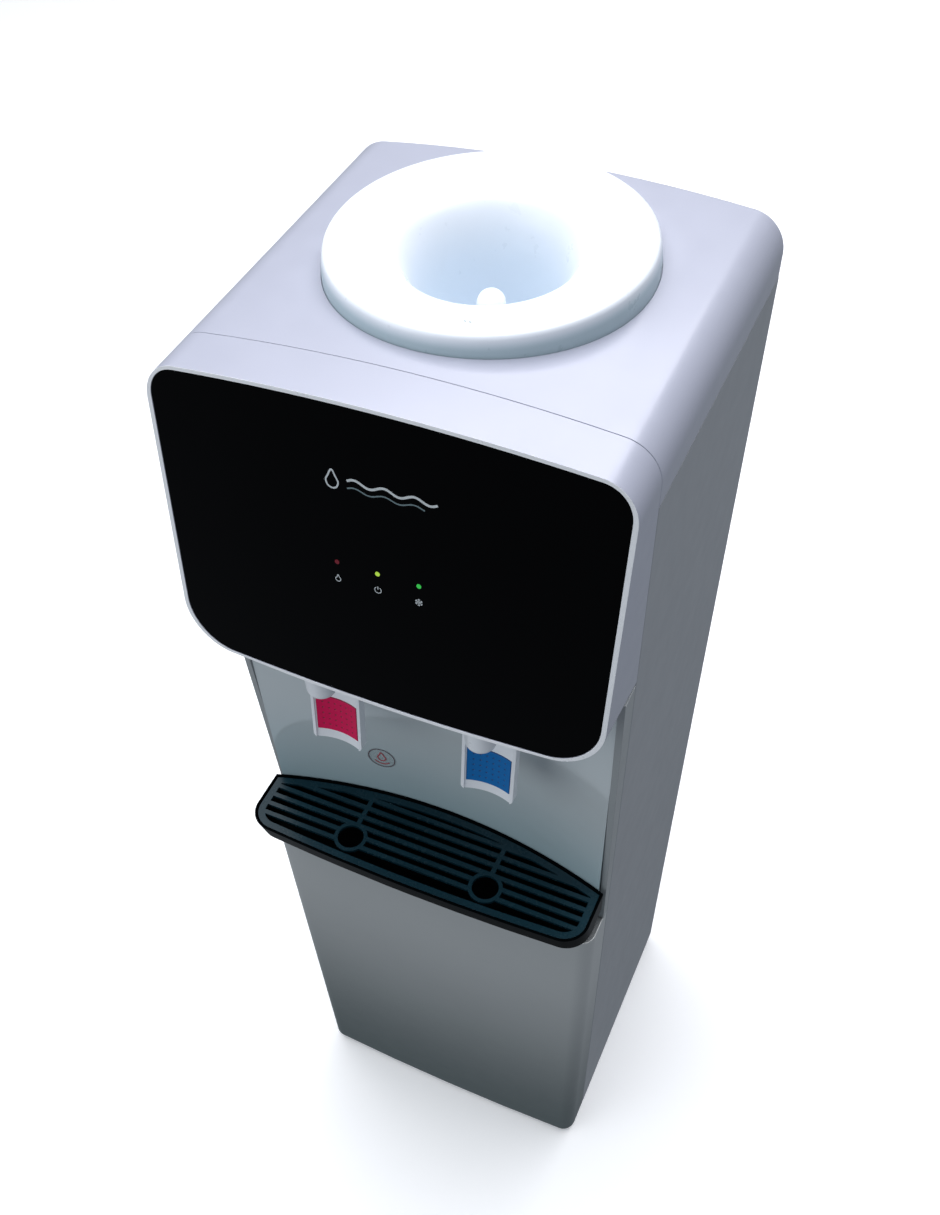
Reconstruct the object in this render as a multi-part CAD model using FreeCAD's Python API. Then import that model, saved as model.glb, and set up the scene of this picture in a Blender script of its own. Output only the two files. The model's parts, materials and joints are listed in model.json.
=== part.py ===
"""Floor-standing water dispenser: top-loading bottle, hot and cold taps, drip tray, cooling circuit.

Millimetres, +Z up. Everything is drawn from the face datum: y = 0 at the top front edge of the head,
x = 0 on the centre line, z = 0 on the floor. export_all() then moves it so that the origin is the
bottom centre of the whole object's box.
"""
import FreeCAD, Part
import math
import os

V = FreeCAD.Vector
os.makedirs("parts", exist_ok=True)

# ---------------------------------------------------------------- overall sizes
BODY_WIDTH = 310.0
HALF = BODY_WIDTH / 2.0
PAST_SIDE_X = 0.65 * BODY_WIDTH    # how far a cut across the whole width runs to each side
CABINET_REAR_Y = 280.0
PAST_REAR_Y = CABINET_REAR_Y + 120.0
SEAM_Y = 37.0                    # front edge of the side panels and of the top cover
FOOT_HEIGHT = 12.0
PANEL_TOP_Z = 926.0              # top edge of the steel side panels
CROWN_Z = PANEL_TOP_Z + 50.0     # highest line of the top cover
CROWN_RADIUS = 1200.0
TOP_CORNER_RADIUS = 26.0

# ---------------------------------------------------------------- walls and clearances
SHELL_WALL = 2.5
SHEET = 0.8
SHELF_SHEET = 1.5
BASE_SHEET = 1.2
SEAT_GAP = 0.3               # between a piece and what carries it
SEAM_GAP = 0.5               # open seam between two covers
SLIDE_GAP = 0.5              # between a loose piece and its guide
PIN_CLEARANCE = 0.06         # radial, shaft in a hole

# ---------------------------------------------------------------- head
FACE_LEAN = 31.0             # the face's lower edge ahead of its upper one
FACE_TOP_Z = CROWN_Z - 2.0
FACE_HEIGHT = 217.0
FACE_BOW = 4.0
GLASS_HALF_WIDTH = HALF - 3.6
GLASS_TOP_RADIUS = 21.0
GLASS_BOTTOM_Z = FACE_TOP_Z - FACE_HEIGHT
GLASS_BOTTOM_RADIUS = 34.0
GLASS_BELLY_RADIUS = 4700.0
GLASS_THICKNESS = 3.0
GLASS_SET_BACK = 0.4
GLASS_LEDGE = 7.0
LEDGE_THICKNESS = 1.8
HEAD_RIM = 2.8               # frame of the face outside the glass
PAST_HEAD_BASE_Z = GLASS_BOTTOM_Z - 57.0
PAST_HEAD_TOP_Z = CROWN_Z + 24.0
HEAD_REAR_BASE_Z = GLASS_BOTTOM_Z + 11.0
HEAD_REAR_RADIUS = 8.0
INDICATOR_Z = FACE_TOP_Z - 108.0
INDICATOR_PITCH = 28.0
INDICATOR_RADIUS = 1.6
BOARD_DEPTH = 14.0           # indicator board behind the face
BOARD_THICKNESS = 1.6
BOARD_POST_RADIUS = 4.0
TAP_OPENING_HALF = 25.0      # notch in the head's floor for each tap
TAP_OPENING_FRONT_Y = -23.5
TAP_OPENING_TOP_Z = GLASS_BOTTOM_Z + 23.0

# ---------------------------------------------------------------- dispensing bay and front
BAY_BASE_Z = PANEL_TOP_Z - 453.0  # seam between the lower front panel and the bay
SPLASH_TOP_Z = HEAD_REAR_BASE_Z + 38.0
SPLASH_CENTRE_Y = 45.0
SPLASH_HALF_WIDTH = HALF - 5.4
SPLASH_SAG = 22.9            # how far the splash panel's middle stands behind its side edges
SPLASH_RADIUS = (SPLASH_HALF_WIDTH ** 2 + SPLASH_SAG ** 2) / (2.0 * SPLASH_SAG)
SPLASH_WALL = 2.0
TRIM_TOP_Y = 17.5
TRIM_BOTTOM_Y = 27.5
TRIM_WALL = 3.0
LABEL_X = -55.0
LABEL_Z = BAY_BASE_Z + 103.0
LABEL_RADIUS = 13.0
LOWER_FACE_Y = -7.0
LOWER_FACE_BOW = 3.0
LOWER_CORNER_RADIUS = 14.0
LOWER_WALL = 2.0
TRAY_SHELF_INSET = 4.0       # shelf under the tray, behind the lower panel's face

# ---------------------------------------------------------------- drip tray
TRAY_TOP_Z = BAY_BASE_Z + 54.0
TRAY_HEIGHT = 25.0
TRAY_HALF_WIDTH = HALF - 0.5
TRAY_FRONT_Y = -39.0
TRAY_BOW = 4.0
TRAY_CORNER_RADIUS = 22.0
TRAY_DRAFT = 7.0             # how far the front wall leans back towards its base
TRAY_WALL = 2.2
GRILLE_THICKNESS = 3.0
GRILLE_DROP = 1.5            # grille top below the rim
GRILLE_BORDER = 6.0
TRAY_LEDGE = 3.0             # step inside the tray's wall that carries the grille
SLAT_WIDTH = 4.0
SLAT_PITCH = 9.6
CUP_RING_RADIUS = 14.5
CUP_RING_WIDTH = 3.2
CUP_RING_Y = -12.0

# ---------------------------------------------------------------- bottle seat
SEAT_Y = 161.0
SEAT_RIM_Z = CROWN_Z + 13.0
SEAT_BASE_RADIUS = 104.0
SEAT_RIM_RADIUS = SEAT_BASE_RADIUS - 2.0
SEAT_COLLAR_RADIUS = 33.0
SEAT_COLLAR_BASE_Z = SEAT_RIM_Z - 103.0
SEAT_WALL = 2.5
SEAT_LIP = 2.0
SEAT_FLOOR_Z = SEAT_COLLAR_BASE_Z + 8.0
SEAT_SLOT_COUNT = 6
SEAT_SLOT_RADIUS = 4.0
SEAT_SLOT_RING = 22.0
BOWL = ((80.0, 3.6), (64.0, 9.5), (54.0, 19.5), (45.5, 38.0))  # radius, depth under the rim
BOWL_UNDERSIDE = ((48.5, 40.0), (57.5, 21.5), (66.0, 12.5), (81.0, 6.6))
WELL_FLOOR_Z = CROWN_Z - 16.0
WELL_LEDGE = 14.0
PROBE_RADIUS = 9.5
PROBE_TIP_Z = SEAT_RIM_Z - 37.0
PROBE_WALL = 2.5
PROBE_PLUG_RADIUS = PROBE_RADIUS - 2.5
PROBE_PORT_DROP = 24.0       # water ports below the probe's tip
PROBE_PORT_RADIUS = 3.0

# ---------------------------------------------------------------- taps
TAP_X = 63.0
SPOUT_Y = -9.0
SPOUT_RADIUS = 11.5
INLET_Z = GLASS_BOTTOM_Z + 32.0
SPOUT_BASE_Z = INLET_Z - 71.0
SPOUT_BORE = 5.0
CHAMBER_RADIUS = 11.0
CHAMBER_BORE = 8.5
CHAMBER_BASE_Z = INLET_Z - 24.0
CHAMBER_TOP_Z = INLET_Z + 11.0
VALVE_SEAT_Z = INLET_Z - 11.0
VALVE_SEAT_THICKNESS = 2.0
VALVE_BORE = 4.0
POPPET_RADIUS = 6.5
POPPET_THICKNESS = 3.9
STEM_RADIUS = 2.0
TONGUE_REACH = 3.0           # tongue of the paddle past the middle of the stem
STEM_HEAD_RADIUS = 4.5
STEM_HEAD_THICKNESS = 2.0
SPRING_SPACE = 10.0
SPRING_RADIUS = 3.4
SPRING_WIRE = 0.5
SPRING_TURNS = 4.0
TAP_CAP_THICKNESS = 4.0
TAP_FLANGE_RADIUS = 14.0
TAP_FLANGE_THICKNESS = 3.0
TAP_BOSS_HALF = 9.0
TAP_NUT_RADIUS = 13.0
TAP_NUT_THICKNESS = 7.0
INLET_RADIUS = 6.5
INLET_BORE = 3.0
INLET_END_Y = 64.0
PIVOT_Y = 15.0
PIVOT_Z = INLET_Z - 4.0
PIVOT_RADIUS = 2.5
PIVOT_HALF = 18.0            # half length of the paddle's pins
PADDLE_HALF_WIDTH = 21.0
PADDLE_TILT = 8.0            # degrees, foot of the paddle forward
PADDLE_FOOT_Z = PIVOT_Z - 137.0
PADDLE_DISH = 5.0            # how far the middle stands behind the edges
PADDLE_WALL = 2.5
PADDLE_DISH_RADIUS = PADDLE_HALF_WIDTH ** 2 / (2.0 * PADDLE_DISH) + PADDLE_DISH / 2.0
PADDLE_RIM = 8.0
PADDLE_CORNER_RADIUS = 4.0
PADDLE_TOP = -40.0           # upper end of the plate below the pivot, along its slope
PADDLE_ARM_X = 13.5
PADDLE_ARM_HALF = 3.0
PADDLE_TONGUE_THICKNESS = 3.0
PAD_SIZE = 35.0
PAD_THICKNESS = 1.6
PAD_RECESS = 1.0
PAD_FIT = 0.1                # around the pad in its recess
PAD_RISE = 9.0               # pad's lower edge above the paddle's foot

# ---------------------------------------------------------------- water side
TANK_RADIUS = 70.0
TANK_WALL = 1.0
TANK_HEIGHT = 179.0
TANK_TOP_Z = SEAT_COLLAR_BASE_Z - 2.0
TANK_BASE_Z = TANK_TOP_Z - TANK_HEIGHT
FOAM_WALL = 14.0
UPPER_SHELF_Z = TANK_BASE_Z - 19.0
LOWER_SHELF_Z = UPPER_SHELF_Z - 165.0
HOT_TANK_RADIUS = TANK_RADIUS - 16.0
HOT_TANK_BASE_Z = LOWER_SHELF_Z + 19.0
HOT_TANK_TOP_Z = UPPER_SHELF_Z - 22.0
JACKET_WALL = 8.0
HOSE_RADIUS = 6.0
PORT_RADIUS = 4.0
PORT_BORE = 3.0
PORT_LENGTH = 28.0
HOSE_FIT = 0.05              # radial, hose bore over a port
HOSE_BEND = 14.0
HOSE_Y = 73.0
HOSE_NOTCH_X = TAP_X + 13.0
NECK_RADIUS = 7.0
COIL_TUBE = 3.0
COIL_TURNS = 9

# ---------------------------------------------------------------- cooling circuit
REAR_PANEL_BASE_Z = 262.0
CONDENSER_TUBE = 2.4
CONDENSER_GAP = 12.0         # rear panel to tube centre
CONDENSER_HALF_WIDTH = 125.0
CONDENSER_BASE_Z = 60.0
CONDENSER_RUNS = 11
DOWN_PIPE_X = 138.0
DOWN_PIPE_Z = 225.0
CONDENSER_TAIL_Y = CABINET_REAR_Y - 30.0  # where the condenser's ends stop inside the cabinet
WIRE_RADIUS = 0.8
WIRE_COUNT = 15
WIRE_PITCH = 14.0
BRACKET_RUNS = (1, 9)        # condenser runs that the brackets hold
BRACKET_POST_X = 104.0
COMPRESSOR_X = 20.0
COMPRESSOR_Y = 185.0
COMPRESSOR_RADIUS = 62.0
COMPRESSOR_HEIGHT = 150.0
GROMMET_HEIGHT = 9.0
GROMMET_RADIUS = 9.0
MOUNT_X = 68.0
MOUNT_Y = 48.0
PIPE_RADIUS = 3.2
CAPILLARY_RADIUS = 1.2
SUCTION_X = 106.0
SUCTION_Z = 120.0
DISCHARGE_Z = 90.0

# ---------------------------------------------------------------- cabinet sheet metal
PANEL_FLANGE = 12.0          # inward fold along the front and rear of each side panel
PANEL_BEND = 2.0
VENT_COUNT = 9
VENT_DROP = 60.0             # top vent below the panel's top
VENT_PITCH = 9.0
VENT_WIDTH = 4.0
VENT_LENGTH = 90.0
VENT_X = 62.0
BASE_LIP = 14.0
SHELF_LIP = 12.0
SHELF_FRONT_GAP = 12.0

# ---------------------------------------------------------------- rear services
SWITCH_X = 100.0
SWITCH_Z = PANEL_TOP_Z - 166.0
SWITCH_HALF_WIDTH = 7.0
SWITCH_HALF_HEIGHT = 11.5
SWITCH_BEZEL = 2.0
SWITCH_DEPTH = 18.0
SWITCH_WELL_DEPTH = 9.0
ROCKER_TILT = 9.0
ROCKER_HALF_WIDTH = 4.7
ROCKER_PIN_RADIUS = 1.2
DRAIN_Z = PANEL_TOP_Z - 426.0
DRAIN_RADIUS = 9.0
DRAIN_FLANGE_RADIUS = 12.0
DRAIN_FLANGE_THICKNESS = 2.5
DRAIN_CAP_LENGTH = 11.0
DRAIN_CAP_END = 2.5
DRAIN_CAP_FLUTES = 12
DRAIN_FLUTE_RADIUS = 1.2
GLAND_X = 100.0
GLAND_RADIUS = 7.0
SCREW_RADIUS = 2.0
SCREW_X = HALF - 6.5
SCREW_HEAD_RADIUS = 3.8
SCREW_HEAD_THICKNESS = 2.2
SCREW_LENGTH = 9.0
SCREW_BASE_Z = REAR_PANEL_BASE_Z + 38.0
SCREW_TOP_Z = PANEL_TOP_Z - 26.0
SCREW_ROWS = 4
FOOT_X = HALF - 27.0
FOOT_FRONT_Y = SEAM_Y + 25.0
FOOT_REAR_Y = CABINET_REAR_Y - 28.0

HEAD_LEAN = FACE_LEAN / FACE_HEIGHT
INNER_HALF = HALF - SHEET - SEAT_GAP
INNER_REAR_Y = CABINET_REAR_Y - SHEET - SEAT_GAP
CABINET_BASE_Z = FOOT_HEIGHT
CONDENSER_PITCH = (DRAIN_Z - 40.0 - CONDENSER_BASE_Z) / (CONDENSER_RUNS - 1)
WIRE_PLANE = CONDENSER_TUBE + WIRE_RADIUS + 0.05
REAR_LIMIT_Y = CABINET_REAR_Y + CONDENSER_GAP + WIRE_PLANE + WIRE_RADIUS
MIDDLE_Y = (TRAY_FRONT_Y + REAR_LIMIT_Y) / 2.0
COLD_PORT_Z = TANK_BASE_Z + 8.0
COIL_BASE_Z = TANK_BASE_Z + 20.0
COIL_PITCH = COIL_TUBE * 2 + 6.0
COIL_RADIUS = TANK_RADIUS + COIL_TUBE + 0.1
COIL_TOP_Z = COIL_BASE_Z + COIL_PITCH * COIL_TURNS
FOAM_BORE = TANK_RADIUS + 2 * COIL_TUBE + 0.6
FOAM_RADIUS = FOAM_BORE + FOAM_WALL
HOT_PORT_Z = HOT_TANK_TOP_Z - 20.0
JACKET_BORE = HOT_TANK_RADIUS + 3.5

parts = {}


# ================================================================ shape helpers
def box(x0, x1, y0, y1, z0, z1):
    return Part.makeBox(x1 - x0, y1 - y0, z1 - z0, V(x0, y0, z0))


def rod(radius, start, end):
    start, end = V(*start), V(*end)
    return Part.makeCylinder(radius, (end - start).Length, start, end - start)


def tube(radius, bore, start, end):
    return rod(radius, start, end).cut(rod(bore, start, end))


def face_of(edges):
    return Part.Face(Part.Wire(Part.__sortEdges__(edges)))


def polygon_face(points):
    return Part.Face(Part.makePolygon([V(*p) for p in points] + [V(*points[0])]))


def arc(a, b, c):
    return Part.Arc(V(*a), V(*b), V(*c)).toShape()


def line(a, b):
    return Part.makeLine(V(*a), V(*b))


def fuse_all(shapes):
    first = shapes[0]
    if len(shapes) == 1:
        return first
    return first.multiFuse(shapes[1:]).removeSplitter()


def mirrored(shape):
    return shape.mirror(V(0, 0, 0), V(1, 0, 0))


def corner_arc(half, radius, centre_z, bow_radius, up):
    """Centre, bow tangent point and middle of the corner between a bowed edge and a vertical side."""
    reach = math.sqrt((bow_radius - radius) ** 2 - (half - radius) ** 2)
    cx, cz = half - radius, centre_z + up * reach
    length = math.hypot(cx, cz - centre_z)
    ux, uz = cx / length, (cz - centre_z) / length
    mid_angle = (math.atan2(uz, ux)) / 2.0
    middle = (cx + radius * math.cos(mid_angle), cz + radius * math.sin(mid_angle))
    return (cx, cz), (cx + radius * ux, cz + radius * uz), middle


def outline(y, half, top, top_bow, top_radius, base, base_bow, base_radius):
    """Face in the plane at y: bowed top and bottom edges, straight sides, round corners."""
    up_centre, up_end, up_mid = corner_arc(half, top_radius, top - top_bow, top_bow, 1)
    dn_centre, dn_end, dn_mid = corner_arc(half, base_radius, base + base_bow, base_bow, -1)
    edges = [arc((-up_end[0], y, up_end[1]), (0, y, top), (up_end[0], y, up_end[1]))]
    edges.append(arc((up_end[0], y, up_end[1]), (up_mid[0], y, up_mid[1]), (half, y, up_centre[1])))
    edges.append(line((half, y, up_centre[1]), (half, y, dn_centre[1])))
    edges.append(arc((half, y, dn_centre[1]), (dn_mid[0], y, dn_mid[1]), (dn_end[0], y, dn_end[1])))
    edges.append(arc((dn_end[0], y, dn_end[1]), (0, y, base), (-dn_end[0], y, dn_end[1])))
    edges.append(arc((-dn_end[0], y, dn_end[1]), (-dn_mid[0], y, dn_mid[1]), (-half, y, dn_centre[1])))
    edges.append(line((-half, y, dn_centre[1]), (-half, y, up_centre[1])))
    edges.append(arc((-half, y, up_centre[1]), (-up_mid[0], y, up_mid[1]), (-up_end[0], y, up_end[1])))
    return Part.Wire(edges)


def bowed_plan(half, front_y, bow, rear_y, z):
    """Plan face: front edge an arc that stands forward by bow in the middle."""
    side_y = front_y + bow
    edges = [arc((-half, side_y, z), (0, front_y, z), (half, side_y, z))]
    edges.append(line((half, side_y, z), (half, rear_y, z)))
    edges.append(line((half, rear_y, z), (-half, rear_y, z)))
    edges.append(line((-half, rear_y, z), (-half, side_y, z)))
    return Part.Face(Part.Wire(edges))


def pipe_path(points, bend):
    """Straight runs joined by tangent arcs of one radius, less where a run is too short for it."""
    pts = [V(*p) for p in points]
    edges = []
    at = pts[0]
    for i in range(1, len(pts) - 1):
        before = (pts[i - 1] - pts[i]).normalize()
        after = (pts[i + 1] - pts[i]).normalize()
        turn = math.pi - before.getAngle(after)
        room = 0.48 * min((pts[i] - pts[i - 1]).Length, (pts[i + 1] - pts[i]).Length)
        radius = min(bend, room / math.tan(turn / 2.0))
        trim = radius * math.tan(turn / 2.0)
        start, end = pts[i] + before * trim, pts[i] + after * trim
        inward = (before + after).normalize()
        middle = pts[i] + inward * (radius / math.cos(turn / 2.0) - radius)
        if (start - at).Length > 1e-6:
            edges.append(Part.makeLine(at, start))
        edges.append(Part.Arc(start, middle, end).toShape())
        at = end
    edges.append(Part.makeLine(at, pts[-1]))
    return Part.Wire(edges)


def pipe(points, radius, bend):
    path = pipe_path(points, bend)
    start = V(*points[0])
    ring = Part.Wire([Part.makeCircle(radius, start, V(*points[1]) - start)])
    return path.makePipeShell([ring], True, True)


def hose(points, radius, bore, bend):
    return pipe(points, radius, bend).cut(pipe(points, bore, bend))


# ================================================================ head
def face_y(z):
    """Where the middle of the leaning face is at a height."""
    return (z - FACE_TOP_Z) * HEAD_LEAN


def behind_face(set_back):
    """Everything behind the bowed and leaning face, moved back by set_back."""
    base_z, height = PAST_HEAD_BASE_Z, PAST_HEAD_TOP_Z - PAST_HEAD_BASE_Z
    bow = FACE_BOW * (PAST_SIDE_X / HALF) ** 2
    plan = bowed_plan(PAST_SIDE_X, face_y(base_z) + set_back, bow, PAST_REAR_Y, base_z)
    return plan.extrude(V(0, height * HEAD_LEAN, height))


def head_wire(y, inset):
    """Outline of the head at y; its base rises and its lower corners tighten towards the rear."""
    front_y = face_y(GLASS_BOTTOM_Z)
    share = (y - front_y) / (SEAM_Y - front_y)
    base = (GLASS_BOTTOM_Z - HEAD_RIM) * (1 - share) + HEAD_REAR_BASE_Z * share
    radius = (GLASS_BOTTOM_RADIUS + HEAD_RIM) * (1 - share) + HEAD_REAR_RADIUS * share
    return outline(y, HALF - inset, CROWN_Z - inset, CROWN_RADIUS - inset, TOP_CORNER_RADIUS - inset,
                   base + inset, GLASS_BELLY_RADIUS - inset, radius - inset)


def head_solid(inset):
    return Part.makeLoft([head_wire(-60.0, inset), head_wire(SEAM_Y, inset)], True, True)


def glass_prism(margin):
    wire = outline(-80.0, GLASS_HALF_WIDTH - margin, CROWN_Z - HEAD_RIM - margin,
                   CROWN_RADIUS - HEAD_RIM - margin, GLASS_TOP_RADIUS - margin, GLASS_BOTTOM_Z + margin,
                   GLASS_BELLY_RADIUS - margin, GLASS_BOTTOM_RADIUS - margin)
    return Part.Face(wire).extrude(V(0, 2 * HALF, 0))


def splash_slab(front_shift, rear_shift, half, z0, z1):
    """Curved slab between two concentric arcs of the splash panel, seen in plan."""
    centre = V(0, SPLASH_CENTRE_Y - SPLASH_RADIUS, z0)
    outer = Part.makeCylinder(SPLASH_RADIUS + rear_shift, z1 - z0, centre)
    inner = Part.makeCylinder(SPLASH_RADIUS + front_shift, z1 - z0, centre)
    return outer.cut(inner).common(box(-half, half, 0, PAST_REAR_Y, z0, z1))


def behind_splash(clearance, half, z0, z1):
    centre = V(0, SPLASH_CENTRE_Y - SPLASH_RADIUS, z0)
    ahead = Part.makeCylinder(SPLASH_RADIUS - clearance, z1 - z0, centre)
    return box(-half, half, 0, 60, z0, z1).cut(ahead)


def make_head():
    glass_pocket = GLASS_SET_BACK + GLASS_THICKNESS + SEAT_GAP
    outer = head_solid(0).common(behind_face(0))
    inner = head_solid(SHELL_WALL).common(behind_face(glass_pocket + LEDGE_THICKNESS))
    bezel = outer.cut(inner)
    bezel = bezel.cut(glass_prism(-SEAT_GAP).cut(behind_face(glass_pocket)))
    window = box(-PAST_SIDE_X, PAST_SIDE_X, -80, SEAM_Y - 20, PAST_HEAD_BASE_Z, PAST_HEAD_TOP_Z)
    bezel = bezel.cut(glass_prism(GLASS_LEDGE).common(window))
    bezel = bezel.cut(behind_splash(SEAT_GAP, SPLASH_HALF_WIDTH + 1.0, PAST_HEAD_BASE_Z, SPLASH_TOP_Z + 20))
    for side in (-1, 1):
        x = side * TAP_X
        bezel = bezel.cut(box(x - TAP_OPENING_HALF, x + TAP_OPENING_HALF, TAP_OPENING_FRONT_Y, 60,
                              PAST_HEAD_BASE_Z, TAP_OPENING_TOP_Z))
    parts["head_bezel"] = bezel

    glass = glass_prism(0)
    lens_y = face_y(INDICATOR_Z)
    board_y = lens_y + BOARD_DEPTH
    axis = V(0, 1, -HEAD_LEAN)
    for i, name in enumerate(("hot_indicator", "power_indicator", "cold_indicator")):
        start = V((i - 1) * INDICATOR_PITCH, lens_y, INDICATOR_Z) - axis * 10
        glass = glass.cut(Part.makeCylinder(INDICATOR_RADIUS + PIN_CLEARANCE, 40, start, axis))
        light_pipe = Part.makeCylinder(INDICATOR_RADIUS, 40, start, axis).common(behind_face(0.3))
        parts[name] = light_pipe.common(
            box(-HALF, HALF, -60, board_y - SEAT_GAP, PAST_HEAD_BASE_Z, PAST_HEAD_TOP_Z))
    glass = glass.common(behind_face(GLASS_SET_BACK))
    parts["front_glass"] = glass.cut(behind_face(GLASS_SET_BACK + GLASS_THICKNESS))

    board_half = INDICATOR_PITCH + 14.0
    board = box(-board_half, board_half, board_y, board_y + BOARD_THICKNESS,
                INDICATOR_Z - 16, INDICATOR_Z + 12)
    posts = []
    for x in (4 - board_half, board_half - 4):
        post = rod(BOARD_POST_RADIUS, (x, lens_y, INDICATOR_Z - 4), (x, board_y, INDICATOR_Z - 4))
        posts.append(post.common(behind_face(GLASS_SET_BACK + GLASS_THICKNESS + 0.1)))
    parts["indicator_board"] = fuse_all([board] + posts)


def cover_solid(inset, front, rear):
    """Prism of the cover's section between two depths; only its top is kept."""
    wire = outline(front, HALF - inset, CROWN_Z - inset, CROWN_RADIUS - inset,
                   TOP_CORNER_RADIUS - inset, PANEL_TOP_Z - 126.0, 20000, 20)
    return Part.Face(wire).extrude(V(0, rear - front, 0))


def make_top_cover():
    front = SEAM_Y + SEAM_GAP
    above_panels = box(-PAST_SIDE_X, PAST_SIDE_X, 0, PAST_REAR_Y, PANEL_TOP_Z + SEAM_GAP, PAST_HEAD_TOP_Z)
    cover = cover_solid(0, front, CABINET_REAR_Y).common(above_panels)
    rear_edges = []
    for edge in cover.Edges:
        bounds = edge.BoundBox
        if bounds.YMin > CABINET_REAR_Y - 0.01 and bounds.ZMax > PANEL_TOP_Z + 1:
            rear_edges.append(edge)
    cover = cover.makeFillet(4.0, rear_edges)
    cover = cover.cut(cover_solid(SHELL_WALL, front - 5, CABINET_REAR_Y - SHELL_WALL))
    well_radius = SEAT_BASE_RADIUS + SLIDE_GAP
    well = Part.makeCylinder(well_radius + SHELL_WALL, 60, V(0, SEAT_Y, WELL_FLOOR_Z - SHELL_WALL))
    well = well.common(cover_solid(0, front, CABINET_REAR_Y))
    cover = cover.fuse(well)
    cover = cover.cut(Part.makeCylinder(well_radius, 60, V(0, SEAT_Y, WELL_FLOOR_Z)))
    cover = cover.cut(Part.makeCylinder(well_radius - WELL_LEDGE, 100, V(0, SEAT_Y, WELL_FLOOR_Z - 40)))
    parts["top_cover"] = cover.removeSplitter()


# ================================================================ bay, tray and lower front
def trim_face(z):
    """Depth of the front edge of the bay's side trim at a height."""
    share = (z - BAY_BASE_Z) / (HEAD_REAR_BASE_Z - BAY_BASE_Z)
    return TRIM_BOTTOM_Y + (TRIM_TOP_Y - TRIM_BOTTOM_Y) * share


def make_bay():
    splash = splash_slab(0, SPLASH_WALL, SPLASH_HALF_WIDTH, BAY_BASE_Z + SEAM_GAP, SPLASH_TOP_Z)
    for side in (-1, 1):
        hole = rod(INLET_RADIUS + SLIDE_GAP, (side * TAP_X, 20, INLET_Z), (side * TAP_X, 70, INLET_Z))
        splash = splash.cut(hole)
    parts["splash_panel"] = splash

    top_z = HEAD_REAR_BASE_Z + 6.0
    base_z = BAY_BASE_Z + SEAM_GAP
    inner_x = SPLASH_HALF_WIDTH + SEAT_GAP
    profile = [(inner_x, trim_face(base_z), base_z), (inner_x, SEAM_Y - SEAM_GAP, base_z)]
    profile += [(inner_x, SEAM_Y - SEAM_GAP, top_z), (inner_x, trim_face(top_z), top_z)]
    trim = polygon_face(profile).extrude(V(HALF - inner_x, 0, 0))
    hidden = [(inner_x - 1, trim_face(base_z) + TRIM_WALL, base_z - 1)]
    hidden += [(inner_x - 1, SEAM_Y - TRIM_WALL, base_z - 1), (inner_x - 1, SEAM_Y - TRIM_WALL, top_z + 1)]
    hidden += [(inner_x - 1, trim_face(top_z) + TRIM_WALL, top_z + 1)]
    trim = trim.cut(polygon_face(hidden).extrude(V(HALF - inner_x - 1.0, 0, 0)))
    keep_clear = head_solid(-SEAM_GAP)
    trim = trim.cut(keep_clear)
    parts["right_bay_trim"] = trim
    parts["left_bay_trim"] = mirrored(trim)


def tray_wire(z, front_y, half, rear_gap, corner_radius):
    """Plan outline of the tray: bowed front, round front corners, rear arc along the splash panel."""
    side_y = front_y + TRAY_BOW
    rear_radius = SPLASH_RADIUS - rear_gap
    centre_y = SPLASH_CENTRE_Y - SPLASH_RADIUS
    rear_side_y = centre_y + math.sqrt(rear_radius ** 2 - half ** 2)
    edges = [line((half, rear_side_y, z), (half, side_y + corner_radius, z))]
    reach = corner_radius * (1 - math.sqrt(0.5))
    edges.append(arc((half, side_y + corner_radius, z), (half - reach, side_y + reach, z),
                     (half - corner_radius, side_y, z)))
    edges.append(arc((half - corner_radius, side_y, z), (0, front_y, z), (corner_radius - half, side_y, z)))
    edges.append(arc((corner_radius - half, side_y, z), (reach - half, side_y + reach, z),
                     (-half, side_y + corner_radius, z)))
    edges.append(line((-half, side_y + corner_radius, z), (-half, rear_side_y, z)))
    edges.append(arc((-half, rear_side_y, z), (0, centre_y + rear_radius, z), (half, rear_side_y, z)))
    return Part.Wire(edges)


def tray_level(z, inset):
    """The tray's outline at a height; its front leans back towards the base."""
    draft = TRAY_DRAFT * (TRAY_TOP_Z - z) / TRAY_HEIGHT
    return tray_wire(z, TRAY_FRONT_Y + draft + inset, TRAY_HALF_WIDTH - inset,
                     SLIDE_GAP + inset, TRAY_CORNER_RADIUS - inset)


def tray_loft(inset, floor_z, top_z):
    low_z = max(floor_z, TRAY_TOP_Z - TRAY_HEIGHT)
    return Part.makeLoft([tray_level(low_z, inset), tray_level(top_z, inset)], True, True)


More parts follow.
